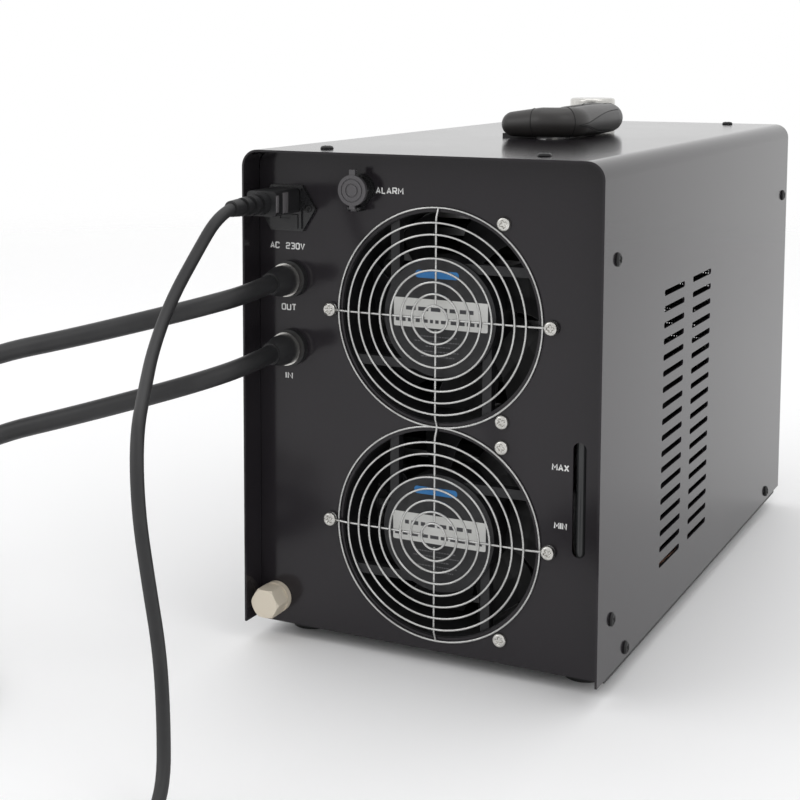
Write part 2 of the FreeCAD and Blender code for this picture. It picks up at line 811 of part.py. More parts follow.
def make_mains_connector():
    """Moulded appliance connector with a ribbed strain relief."""
    z = case_low + inlet_height + socket_rise
    nose_y = rear_in + 13.0
    front = rear_out - inlet_flange - 2.0
    nose = round_block_y(inlet_x, z, socket_half_width - 0.3, socket_half_height - 0.3, 2.2, front, nose_y)
    slots = []
    for x, pz in ((-7.0, -1.5), (0.0, 2.0), (7.0, -1.5)):
        slots.append(box(inlet_x + x - 1.4, inlet_x + x + 1.4, rear_in - 4.0, nose_y + 1.0,
                         z + pz - 2.4, z + pz + 2.4))
    grip_end = front - connector_grip
    grip = round_block_y(inlet_x, z, 11.4, 8.6, 3.0, grip_end, front)
    neck = Part.makeCone(7.8, 5.4, connector_relief, V(inlet_x, grip_end, z), V(0, -1, 0))
    groove = []
    for index in range(3):
        y = grip_end - 9.0 - 9.5 * index
        radius = 7.0 - 0.5 * index
        cutter = rod_y(inlet_x, y - 2.2, y + 2.2, z, 12.0).cut(rod_y(inlet_x, y - 2.2, y + 2.2, z, radius - 1.5))
        groove.append(cutter)
    body = nose.cut(slots).fuse([grip, neck.cut(groove)])
    return body.removeSplitter()


def mains_exit_y():
    """Y at which the cable leaves the connector's strain relief."""
    return rear_out - inlet_flange - 2.0 - connector_grip - connector_relief


def make_port(height):
    """Bulkhead body with its barbed tail inside and a through bore."""
    z = case_low + height
    outside = rod_y(port_x, rear_out - port_body_length, rear_out, z, port_body_radius)
    spigot = rod_y(port_x, rear_out - port_body_length - ring_length - 14.0,
                   rear_out - port_body_length, z, port_thread_radius - 1.0)
    thread = rod_y(port_x, rear_out, rear_in + 16.0, z, port_thread_radius)
    tail = rod_y(port_x, rear_in + 16.0, rear_in + 34.0, z, hose_bore_radius + 1.4)
    nut = prism_y([(port_x + port_nut_radius * math.cos(math.radians(60.0 * k)),
                    z + port_nut_radius * math.sin(math.radians(60.0 * k))) for k in range(6)],
                  rear_in, rear_in + port_nut_length)
    body = outside.fuse([spigot, thread, tail, nut])
    bore = rod_y(port_x, rear_out - port_body_length - ring_length - 15.0, rear_in + 35.0, z, hose_bore_radius)
    return body.cut(bore).removeSplitter()


def make_ring(height):
    """Bright collar in front of the bulkhead body."""
    z = case_low + height
    y1 = rear_out - port_body_length
    y0 = y1 - ring_length
    collar = rod_y(port_x, y0, y1, z, ring_radius)
    bore = rod_y(port_x, y0 - 1.0, y1 + 1.0, z, port_thread_radius - 1.0 + fit_gap)
    return collar.cut(bore)


def sleeve_end_y():
    """Y at which the hose leaves its sleeve."""
    return rear_out - port_body_length - ring_length - sleeve_length


def make_sleeve(height):
    """Hose sleeve that tapers from the collar down to the hose."""
    z = case_low + height
    y1 = rear_out - port_body_length - ring_length
    y0 = sleeve_end_y()
    profile = [
        Part.LineSegment(V(0, y1, 0), V(10.6, y1, 0)).toShape(),
        Part.LineSegment(V(10.6, y1, 0), V(10.6, y1 - 7.0, 0)).toShape(),
        Part.Arc(V(10.6, y1 - 7.0, 0), V(9.3, y1 - 13.0, 0), V(hose_radius + 1.0, y0 + 1.5, 0)).toShape(),
        Part.LineSegment(V(hose_radius + 1.0, y0 + 1.5, 0), V(hose_radius + 1.0, y0, 0)).toShape(),
        Part.LineSegment(V(hose_radius + 1.0, y0, 0), V(0, y0, 0)).toShape(),
        Part.LineSegment(V(0, y0, 0), V(0, y1, 0)).toShape(),
    ]
    body = Part.Face(Part.Wire(profile)).revolve(V(0, 0, 0), V(0, 1, 0), 360.0)
    body.translate(V(port_x, 0, z))
    socket = rod_y(port_x, y1 - 14.0 - fit_gap, y1 + 1.0, z, port_thread_radius - 1.0 + fit_gap)
    bore = rod_y(port_x, y0 - 1.0, y1 - 13.0, z, hose_bore_radius)
    return body.cut([socket, bore])


def make_alarm_socket():
    """Round panel socket with a flange, five contacts and ears for the cap's hinge."""
    z = case_low + alarm_height
    front = rear_out - alarm_length
    shell = rod_y(alarm_x, front, rear_out, z, alarm_radius)
    flange = rod_y(alarm_x, rear_out - 2.5, rear_out, z, alarm_flange_radius)
    thread = rod_y(alarm_x, rear_out, rear_in + 12.0, z, alarm_radius - 1.0)
    nut = prism_y([(alarm_x + 11.0 * math.cos(math.radians(60.0 * k + 30.0)),
                    z + 11.0 * math.sin(math.radians(60.0 * k + 30.0))) for k in range(6)],
                  rear_in, rear_in + 3.0)
    hinge_z = z - alarm_cap_hinge_drop()
    hinge_y = alarm_hinge_y()
    ears = []
    for side in (-1, 1):
        x0 = alarm_x + side * 3.4 - 1.0
        ears.append(rod_x(x0, x0 + 2.0, hinge_y, hinge_z, 1.7))
        ears.append(box(x0, x0 + 2.0, hinge_y, rear_out - 2.0, hinge_z - 1.7, hinge_z + 1.7))
        ears.append(box(x0, x0 + 2.0, hinge_y + 2.6, rear_out - 2.0, hinge_z, z - 7.0))
    body = shell.fuse([flange, thread, nut] + ears)
    hollow = rod_y(alarm_x, front - 1.0, front + 10.0, z, alarm_radius - 1.8)
    body = body.cut([hollow, rod_x(alarm_x - 6.0, alarm_x + 6.0, hinge_y, hinge_z,
                                   alarm_pin_radius + hinge_clear)])
    contacts = []
    for index in range(5):
        angle = math.radians(72.0 * index + 90.0)
        contacts.append(rod_y(alarm_x + 3.6 * math.cos(angle), front + 7.0, front + 10.5,
                              z + 3.6 * math.sin(angle), 0.8))
    return body.fuse(contacts).removeSplitter()


def alarm_hinge_y():
    """Y of the cap's hinge line."""
    return rear_out - alarm_length + 0.4


def alarm_cap_hinge_drop():
    """How far the cap's hinge lies below the socket's axis."""
    return alarm_cap_radius + 2.2


def make_alarm_cap():
    """Hinged dust cap with concentric rings, a lift tab and its own pin."""
    z = case_low + alarm_height
    back = rear_out - alarm_length - fit_gap
    front = back - alarm_cap_thickness
    disc = rod_y(alarm_x, front, back, z, alarm_cap_radius)
    grooves = []
    for radius in (8.2, 4.8):
        outer = rod_y(alarm_x, front - 1.0, front + 0.6, z, radius)
        grooves.append(outer.cut(rod_y(alarm_x, front - 1.0, front + 0.6, z, radius - 0.9)))
    tab = box(alarm_x - 2.2, alarm_x + 2.2, front + 0.4, back, z + alarm_cap_radius - 1.0,
              z + alarm_cap_radius + 3.6)
    hinge_z = z - alarm_cap_hinge_drop()
    knuckle_y = alarm_hinge_y()
    arm = box(alarm_x - 2.0, alarm_x + 2.0, front + 0.4, back, hinge_z, z - alarm_cap_radius + 1.5)
    knuckle = rod_x(alarm_x - 2.0, alarm_x + 2.0, knuckle_y, hinge_z, 1.7)
    pin = rod_x(alarm_x - 4.4, alarm_x + 4.4, knuckle_y, hinge_z, alarm_pin_radius)
    plug = rod_y(alarm_x, back, back + 1.5, z, alarm_radius - 2.2)
    return disc.cut(grooves).fuse([tab, arm, knuckle, pin, plug]).removeSplitter()


def make_drain_port():
    """Drain bulkhead with a round flange outside and a nut inside."""
    z = case_low + drain_height
    flange = rod_y(drain_x, rear_out - drain_flange_length, rear_out, z, drain_flange_radius)
    neck = rod_y(drain_x, rear_out, rear_in + 16.0, z, drain_neck_radius)
    spout = rod_y(drain_x, rear_out - drain_flange_length - 9.0, rear_out - drain_flange_length, z,
                  drain_neck_radius)
    nut = rod_y(drain_x, rear_in, rear_in + 4.0, z, 9.0)
    bore = rod_y(drain_x, rear_out - drain_flange_length - 10.0, rear_in + 17.0, z, 3.5)
    return flange.fuse([neck, spout, nut]).cut(bore).removeSplitter()


def make_drain_cap():
    """Six-sided cap that screws over the drain spout."""
    z = case_low + drain_height
    y1 = rear_out - drain_flange_length - fit_gap
    y0 = y1 - drain_cap_length
    corner = drain_cap_flats / math.sqrt(3.0)
    outline = [(drain_x + corner * math.cos(math.radians(60.0 * k)),
                z + corner * math.sin(math.radians(60.0 * k))) for k in range(6)]
    body = prism_y(outline, y0, y1)
    chamfer = Part.makeCone(corner - 1.4, corner + 3.0, 4.4, V(drain_x, y0, z), V(0, 1, 0))
    rest = rod_y(drain_x, y0 + 4.4, y1, z, corner + 3.0)
    hollow = rod_y(drain_x, y1 - 10.0, y1 + 1.0, z, drain_neck_radius + 0.05)
    return body.common(chamfer.fuse(rest)).cut(hollow)


def make_filler_neck():
    """Filler neck with a flange on the case and a tube down to the tank."""
    y = rear_edge + filler_inset
    flange = rod_z(filler_x, y, case_top, case_top + filler_flange_height, filler_flange_radius)
    collar = rod_z(filler_x, y, case_top + filler_flange_height, case_top + 18.0, filler_neck_radius)
    tube = rod_z(filler_x, y, tank_top(), case_top, filler_neck_radius)
    bore = rod_z(filler_x, y, tank_top() - 1.0, case_top + 19.0, filler_bore_radius)
    return flange.fuse([collar, tube]).cut(bore).removeSplitter()


def make_filler_cap():
    """Bright screw cap, hollow under its top, with a row of grip flutes."""
    y = rear_edge + filler_inset
    low = case_top + filler_flange_height + fit_gap
    high = low + filler_cap_height
    body = rod_z(filler_x, y, low, high, filler_cap_radius)
    top_edge = [e for e in body.Edges if isinstance(e.Curve, Part.Circle) and e.CenterOfMass.z > high - 0.1]
    body = body.makeFillet(2.5, top_edge)
    hollow = rod_z(filler_x, y, low - 1.0, high - 4.0, filler_neck_radius + 0.05)
    return body.cut(hollow)


def handle_pivot():
    """Point on the handle's hinge line."""
    return V(handle_hinge_x, 0.0, case_top + handle_clear + handle_arm_height / 2.0)


def grip_height():
    """Height of the grip's middle."""
    return case_top + handle_clear + handle_grip_height / 2.0


def handle_arm_places():
    """Y of the middles of the handle's two arms."""
    inset = handle_grip_height / 2.0
    return (rear_edge + handle_y_low + inset, rear_edge + handle_y_high - inset)


def handle_arm(y, inward):
    """Round arm that widens towards the grip, with a flat boss beside the bracket."""
    pivot = handle_pivot()
    r0 = handle_arm_height / 2.0
    r1 = handle_grip_height / 2.0 - handle_step
    start = V(pivot.x, y, pivot.z)
    run = V(handle_grip_x - handle_bend, y, grip_height()) - start
    reach = run.Length + 3.0
    slant = r0 * math.sqrt(0.5)
    profile = [
        Part.Arc(V(-r0, 0, 0), V(-slant, 0, slant), V(0, 0, r0)).toShape(),
        Part.LineSegment(V(0, 0, r0), V(reach, 0, r1)).toShape(),
        Part.LineSegment(V(reach, 0, r1), V(reach, 0, 0)).toShape(),
        Part.LineSegment(V(reach, 0, 0), V(-r0, 0, 0)).toShape(),
    ]
    arm = Part.Face(Part.Wire(profile)).revolve(V(0, 0, 0), V(1, 0, 0), 360.0)
    arm.rotate(V(0, 0, 0), V(0, 1, 0), -math.degrees(math.atan2(run.z, run.x)))
    arm.translate(start)
    face = y + inward * (handle_arm_width - handle_grip_height / 2.0)
    boss = rod_y(pivot.x, min(y, face), max(y, face), pivot.z, r0 - 1.2)
    return arm.fuse(boss)


def handle_corner(start, ahead):
    """Quarter bend of the round handle, turning to the left from a point."""
    circle = Part.Wire([Part.Circle(start, ahead, handle_grip_height / 2.0).toShape()])
    centre = start + V(-ahead.y, ahead.x, 0) * handle_bend
    return Part.Face(circle).revolve(centre, V(0, 0, 1), 90.0)


def grip_bar(radius_grow):
    """Round grip between the bends, which swells a little in the middle."""
    near, far = handle_arm_places()
    y0 = near + handle_bend
    y1 = far - handle_bend
    r1 = handle_grip_height / 2.0 + radius_grow
    middle = (y0 + y1) / 2.0
    profile = [
        Part.LineSegment(V(0, y0, 0), V(r1, y0, 0)).toShape(),
        Part.Arc(V(r1, y0, 0), V(r1 + handle_swell, middle, 0), V(r1, y1, 0)).toShape(),
        Part.LineSegment(V(r1, y1, 0), V(0, y1, 0)).toShape(),
        Part.LineSegment(V(0, y1, 0), V(0, y0, 0)).toShape(),
    ]
    bar = Part.Face(Part.Wire(profile)).revolve(V(0, 0, 0), V(0, 1, 0), 360.0)
    bar.translate(V(handle_grip_x, 0, grip_height()))
    return bar


def make_handle():
    """Fold-flat carry handle: two arms, two bends, the grip and blind bores for the pins."""
    near, far = handle_arm_places()
    pivot = handle_pivot()
    corner_x = handle_grip_x - handle_bend
    first = handle_corner(V(corner_x, near, grip_height()), V(1, 0, 0))
    last = handle_corner(V(handle_grip_x, far - handle_bend, grip_height()), V(0, 1, 0))
    body = handle_arm(near, 1).fuse([first, grip_bar(0.0), last, handle_arm(far, -1)]).removeSplitter()
    y0 = rear_edge + handle_y_low
    y1 = rear_edge + handle_y_high
    pocket = 7.0
    cuts = [
        rod_y(pivot.x, y0 + pocket, y0 + handle_arm_width + 1.0, pivot.z, hinge_pin_radius + hinge_clear),
        rod_y(pivot.x, y1 - handle_arm_width - 1.0, y1 - pocket, pivot.z, hinge_pin_radius + hinge_clear),
    ]
    return body.cut(cuts).cut(insert_region(insert_clear))


def insert_region(slack):
    """Leaf-shaped skin on the outer side of the grip, or its pocket with some slack."""
    near, far = handle_arm_places()
    skin = grip_bar(0.4 + slack).cut(grip_bar(-1.6 - slack))
    tip = near + handle_bend + 4.0 - 3.0 * slack
    end = far - handle_bend - 1.0 + slack
    middle = (tip + end) / 2.0
    x0 = handle_grip_x + 2.0
    x1 = handle_grip_x + handle_grip_height
    under = grip_height() - 8.0 - slack
    over = grip_height() + 7.0 + slack
    low = V(x0, tip, grip_height() - 2.0)
    leaf = [
        Part.Arc(low, V(x0, middle, under + 0.6), V(x0, end, under)).toShape(),
        Part.LineSegment(V(x0, end, under), V(x0, end, over)).toShape(),
        Part.Arc(V(x0, end, over), V(x0, middle, over - 2.0), low).toShape(),
    ]
    blank = Part.Face(Part.Wire(leaf)).extrude(V(x1 - x0, 0, 0))
    return skin.common(blank)


def make_handle_base():
    """Bracket on the case top that carries both hinge pins."""
    y0 = rear_edge + handle_y_low + handle_arm_width + 0.4
    y1 = rear_edge + handle_y_high - handle_arm_width - 0.4
    pivot = handle_pivot()
    plate = box(pivot.x - 14.0, pivot.x + 14.0, y0, y1, case_top, case_top + 3.0)
    lugs = []
    for start in (y0, y1 - 14.0):
        eye = rod_y(pivot.x, start, start + 14.0, pivot.z, 8.0)
        post = box(pivot.x - 8.0, pivot.x + 8.0, start, start + 14.0, case_top + 2.0, pivot.z)
        lugs += [eye, post]
    body = plate.fuse(lugs)
    bore = rod_y(pivot.x, y0 - 1.0, y1 + 1.0, pivot.z, hinge_pin_radius)
    return body.cut(bore).removeSplitter()


def make_handle_pins():
    """Two steel pins, held in the bracket and free in the handle's arms."""
    y0 = rear_edge + handle_y_low
    y1 = rear_edge + handle_y_high
    pivot = handle_pivot()
    near = rod_y(pivot.x, y0 + 7.6, y0 + handle_arm_width + 14.0, pivot.z, hinge_pin_radius)
    far = rod_y(pivot.x, y1 - handle_arm_width - 14.0, y1 - 7.6, pivot.z, hinge_pin_radius)
    return [near, far]


def tank_place():
    """Corner of the reservoir nearest to the fans' side."""
    return V(-half_w + 16.0, rear_edge + filler_inset - 60.0, tray_top)


def tank_top():
    """Height of the reservoir's lid."""
    return tray_top + tank_height


def make_reservoir():
    """Moulded water tank under the filler, with rounded upright edges."""
    corner = tank_place()
    width = filler_x + filler_neck_radius + 6.0 - corner.x
    block = box(corner.x, corner.x + width, corner.y, corner.y + tank_length, corner.z, tank_top())
    upright = [e for e in block.Edges if abs(e.tangentAt(e.FirstParameter).z) > 0.99]
    outer = block.makeFillet(9.0, upright)
    wall = tank_wall
    inner = box(corner.x + wall, corner.x + width - wall, corner.y + wall,
                corner.y + tank_length - wall, corner.z + wall, tank_top() - wall)
    bore = rod_z(filler_x, rear_edge + filler_inset, tank_top() - 2.0 * wall, tank_top() + 1.0, filler_bore_radius)
    return outer.cut([inner, bore])


def tube_path(points):
    """Straight runs joined by tangent arcs, each as large as its two runs allow."""
    corners = [V(*p) for p in points]
    edges = []
    radii = []
    start = corners[0]
    for index in range(1, len(corners) - 1):
        before = corners[index] - corners[index - 1]
        after = corners[index + 1] - corners[index]
        turn = before.getAngle(after)
        reach = 0.45 * min(before.Length, after.Length)
        radius = reach / math.tan(turn / 2.0)
        radii.append(radius)
        first = corners[index] - before.normalize() * reach
        last = corners[index] + after.normalize() * reach
        bisector = ((first + last) * 0.5 - corners[index]).normalize()
        middle = corners[index] + bisector * (radius / math.cos(turn / 2.0) - radius)
        edges.append(Part.LineSegment(start, first).toShape())
        edges.append(Part.Arc(first, middle, last).toShape())
        start = last
    edges.append(Part.LineSegment(start, corners[-1]).toShape())
    return Part.Wire(edges), radii


def cord_tube(name, points, radius):
    """Round cord along a route, cut flush where it starts, with its tightest bend printed."""
    mouth = V(*points[0])
    ahead = (V(*points[1]) - mouth).normalize()
    first = mouth - ahead * radius
    wire, radii = tube_path([tuple(first)] + points[1:])
    section = Part.Wire([Part.Circle(first, ahead, radius).toShape()])
    tube = wire.makePipeShell([section], True, False)
    if tube.Volume < 0:
        tube.reverse()
    wanted = math.pi * radius * radius * wire.Length
    tight = min(radii) if radii else 0.0
    print(name, "length", round(wire.Length, 1), "tightest radius", round(tight, 1),
          "radii", [round(r) for r in radii], "volume ratio", round(tube.Volume / wanted, 4))
    reach = 3.0 * radius
    return tube.cut(box(mouth.x - reach, mouth.x + reach, mouth.y, mouth.y + reach,
                        mouth.z - reach, mouth.z + reach))


def coil(centre, radius, half_width, height):
    """Outer shape of a flat coil that lies on the floor."""
    corners = [V(radius - half_width, 0, 0), V(radius + half_width, 0, 0),
               V(radius + half_width, 0, height * 0.7), V(radius + half_width * 0.7, 0, height),
               V(radius - half_width * 0.7, 0, height), V(radius - half_width, 0, height * 0.7)]
    face = Part.Face(Part.makePolygon(corners + corners[:1]))
    ring = face.revolve(V(0, 0, 0), V(0, 0, 1), 360.0)
    ring.translate(centre)
    return ring


def outlet_route():
    """Hand-chosen route of the outlet hose from its sleeve to its coil."""
    return [
        (port_x, sleeve_end_y(), case_low + outlet_height),
        (-104.5, -303, 258),
        (-120, -333, 253),
        (-154, -355, 243.5),
        (-204, -370, 230),
        (-255, -382, 217.5),
        (-302, -392, 196),
        (-337, -401, 161),
        (-359, -408, 118),
        (-374, -413, 74),
        (-396, -417, 38),
        (-426, -417, 19),
    ]


def return_route():
    """Hand-chosen route of the return hose from its sleeve to its coil."""
    return [
        (port_x, sleeve_end_y(), case_low + return_height),
        (-104.5, -303, 209.5),
        (-121, -333, 203),
        (-156, -355, 192),
        (-205, -371, 177),
        (-254, -386, 163),
        (-297, -403, 139),
        (-335, -424, 103),
        (-360, -451, 65),
        (-373, -483, 36),
        (-366, -511, 19),
    ]


def mains_route():
    """Hand-chosen route of the mains cable from its strain relief to its coil."""
    return [
        (inlet_x, mains_exit_y(), case_low + inlet_height + socket_rise),
        (-107, -335, 313.5),
        (-112, -353, 291),
        (-114, -379, 265),
        (-105, -413, 240),
        (-88, -447, 223),
        (-70, -482, 205),
        (-63, -491, 165),
        (-55, -493, 125),
        (-48, -493, 86),
        (-44, -496, 48),
        (-35, -510, 16),
        (-21, -538, 7),
        (-15, -568, 7),
    ]


def make_mains_plug(place, heading):
    """Round two-pin plug lying on its side, with a moulded neck."""
    radius = plug_radius
    body = Part.makeCylinder(radius, 24.0, V(0, 0, 0), V(1, 0, 0))
    rim = Part.makeCone(radius, 11.0, 14.0, V(0, 0, 0), V(-1, 0, 0))
    neck = Part.makeCone(8.0, 5.2, 20.0, V(-14.0, 0, 0), V(-1, 0, 0))
    pins = []
    for side in (-1, 1):
        pins.append(Part.makeCylinder(2.4, 19.0, V(24.0, side * 9.5, 0), V(1, 0, 0)))
    plug = body.fuse([rim, neck] + pins).removeSplitter()
    plug.rotate(V(0, 0, 0), V(0, 0, 1), heading)
    plug.translate(place)
    return plug


def make_hose_fitting(place, heading):
    """Straight snap connector on the loose end of a hose."""
    grip = Part.makeCylinder(fitting_radius, 22.0, V(6.0, 0, 0), V(1, 0, 0))
    collar = Part.makeCylinder(7.6, 6.0, V(0, 0, 0), V(1, 0, 0))
    nose = Part.makeCylinder(6.2, 12.0, V(28.0, 0, 0), V(1, 0, 0))
    lip = Part.makeCylinder(7.2, 2.0, V(34.0, 0, 0), V(1, 0, 0))
    bore = Part.makeCylinder(3.0, 34.0, V(7.0, 0, 0), V(1, 0, 0))
    fitting = grip.fuse([collar, nose, lip]).cut(bore).removeSplitter()
    fitting.rotate(V(0, 0, 0), V(0, 0, 1), heading)
    fitting.translate(place)
    return fitting


def make_condenser():
    """Heat exchanger in front of the fans: two headers, flat tubes and end plates."""
    y0 = rear_in + fan_depth + fit_gap
    y1 = y0 + condenser_depth
    low = tray_top
    high = low + condenser_height
    x0 = fan_x - condenser_half_width
    x1 = fan_x + condenser_half_width
    pieces = [box(x0, x0 + 12.0, y0, y1, low, high), box(x1 - 12.0, x1, y0, y1, low, high),
              box(x0, x1, y0, y1, low, low + 8.0), box(x0, x1, y0, y1, high - 8.0, high)]
    pitch = (condenser_height - 16.0) / condenser_rows
    for row in range(condenser_rows):
        z = low + 8.0 + (row + 0.5) * pitch
        pieces.append(box(x0 + 6.0, x1 - 6.0, y0 + 4.0, y1 - 4.0, z - 2.5, z + 2.5))
    return pieces[0].fuse(pieces[1:]).removeSplitter()


def make_compressor_mounts():
    """Three rubber bushings under the compressor's feet."""
    mounts = []
    for index in range(3):
        angle = math.radians(120.0 * index + 90.0)
        x = compressor_x + (compressor_radius - 6.0) * math.cos(angle)
        y = compressor_y + (compressor_radius - 6.0) * math.sin(angle)
        mounts.append(rod_z(x, y, tray_top, tray_top + mount_height, 8.0))
    return mounts


def make_compressor():
    """Hermetic compressor with a domed shell on a three-armed foot plate."""
    low = tray_top + mount_height
    plate = rod_z(compressor_x, compressor_y, low, low + 3.0, compressor_radius)
    radius = compressor_radius - 8.0
    dome = 20.0
    high = low + compressor_height
    shell = rod_z(compressor_x, compressor_y, low + 3.0, high, radius)
    rims = [e for e in shell.Edges if isinstance(e.Curve, Part.Circle)]
    shell = shell.makeFillet(dome, [e for e in rims if e.CenterOfMass.z > high - 0.1])
    cup = rod_z(compressor_x, compressor_y, high - 1.0, high + 10.0, 13.0)
    return plate.fuse([shell, cup]).removeSplitter()


def make_pump():
    """Circulation pump: foot, motor, volute and its two stubs."""
    z = tray_top + pump_axis_rise
    foot = box(pump_x - 24.0, pump_x + 24.0, pump_y - 34.0, pump_y + 34.0, tray_top, tray_top + 4.0)
    post = box(pump_x - 14.0, pump_x + 14.0, pump_y - 26.0, pump_y + 26.0, tray_top + 4.0, z)
    motor = rod_y(pump_x, pump_y - 40.0, pump_y + 28.0, z, pump_motor_radius)
    volute = rod_y(pump_x, pump_y + 28.0, pump_y + 50.0, z, pump_motor_radius + 4.0)
    stub = rod_z(pump_x, pump_y + 39.0, z, z + pump_motor_radius + 16.0, water_pipe_radius + 1.6)
    return foot.fuse([post, motor, volute, stub]).removeSplitter()


def pump_outlet():
    """Top of the pump's outlet stub."""
    return V(pump_x, pump_y + 39.0, tray_top + pump_axis_rise + pump_motor_radius + 16.0)


def make_heat_exchanger():
    """Brazed plate pack that stands on the tray, with four stubs on its near face."""
    z1 = tray_top + exchanger_height
    y0 = exchanger_y - exchanger_half_length
    body = round_block_z(exchanger_x, exchanger_y, exchanger_half_width, exchanger_half_length, 8.0,
                         tray_top, z1)
    stubs = []
    for side in (-1, 1):
        for z in (tray_top + 20.0, z1 - 20.0):
            stubs.append(rod_y(exchanger_x + side * 22.0, y0 - 8.0, y0 + 1.0, z, 7.6))
    return body.fuse(stubs).removeSplitter()


def round_block_z(x, y, half_x, half_y, radius, z0, z1):
    """Upright block with its four upright edges rounded."""
    block = box(x - half_x, x + half_x, y - half_y, y + half_y, z0, z1)
    edges = [e for e in block.Edges if abs(e.tangentAt(e.FirstParameter).z) > 0.99]
    return block.makeFillet(radius, edges)


def pipe(points, radius, bend):
    """Inside pipe: straight runs with equal bends."""
    corners = [V(*p) for p in points]
    edges = []
    start = corners[0]
    for index in range(1, len(corners) - 1):
        before = (corners[index] - corners[index - 1]).normalize()
        after = (corners[index + 1] - corners[index]).normalize()
        turn = before.getAngle(after)
        reach = bend * math.tan(turn / 2.0)
        first = corners[index] - before * reach
        last = corners[index] + after * reach
        bisector = ((first + last) * 0.5 - corners[index]).normalize()
        middle = corners[index] + bisector * (bend / math.cos(turn / 2.0) - bend)
        edges.append(Part.LineSegment(start, first).toShape())
        edges.append(Part.Arc(first, middle, last).toShape())
        start = last
    edges.append(Part.LineSegment(start, corners[-1]).toShape())
    ahead = (corners[1] - corners[0]).normalize()
    section = Part.Wire([Part.Circle(corners[0], ahead, radius).toShape()])
    tube = Part.Wire(edges).makePipeShell([section], True, False)
    if tube.Volume < 0:
        tube.reverse()
    return tube


def make_refrigerant_lines():
    """Copper lines between the compressor, the condenser and the plate pack."""
    cond_y = rear_in + fan_depth + fit_gap + condenser_depth
    cond_x = fan_x + condenser_half_width - 8.0
    high = tray_top + mount_height + compressor_height
    pack_y = exchanger_y - exchanger_half_length - 8.0
    hot = pipe([(cond_x, cond_y, tray_top + condenser_height - 24.0),
                (cond_x, cond_y + 40.0, tray_top + condenser_height - 24.0),
                (compressor_x, compressor_y - 40.0, high + 60.0),
                (compressor_x, compressor_y, high + 60.0),
                (compressor_x, compressor_y, high + 10.0)], pipe_radius, 14.0)
    round_x = compressor_x + compressor_radius + liquid_line_radius + line_gap
    liquid = pipe([(cond_x, cond_y, tray_top + 30.0),
                   (cond_x, cond_y + 28.0, tray_top + 30.0),
                   (round_x, cond_y + 60.0, tray_top + 30.0),
                   (round_x, pack_y - 44.0, tray_top + 20.0),
                   (exchanger_x + 22.0, pack_y - 22.0, tray_top + 20.0),
                   (exchanger_x + 22.0, pack_y, tray_top + 20.0)], liquid_line_radius, 8.0)
    return [hot, liquid]


def make_water_lines():
    """Water lines: pump to the outlet port, and the return port to the tank."""
    start = pump_outlet()
    tail_y = rear_in + 34.0
    feed = pipe([(port_x, tail_y, case_low + outlet_height),
                 (port_x, tail_y + 50.0, case_low + outlet_height),
                 (start.x, start.y, case_low + outlet_height),
                 (start.x, start.y, start.z)], water_pipe_radius, 20.0)
    corner = tank_place()
    back = pipe([(port_x, tail_y, case_low + return_height),
                 (port_x, tail_y + 50.0, case_low + return_height),
                 (corner.x + 14.0, corner.y - 40.0, case_low + return_height),
                 (corner.x + 14.0, corner.y, case_low + return_height)], water_pipe_radius, 20.0)
    return [feed, back]


def make_sight_tube():
    """Clear level tube behind the rear window, with a bend into the case at each end."""
    y = rear_in + sight_radius + fit_gap
    low = case_low + window_low - 14.0
    high = case_low + window_high + 14.0
    route = [(window_x, y + 26.0, low), (window_x, y, low), (window_x, y, high), (window_x, y + 26.0, high)]
    outer = pipe(route, sight_radius, 9.0)
    inner = pipe([(window_x, y + 27.0, low), (window_x, y, low), (window_x, y, high),
                  (window_x, y + 27.0, high)], sight_radius - 1.0, 9.0)
    return outer.cut(inner)


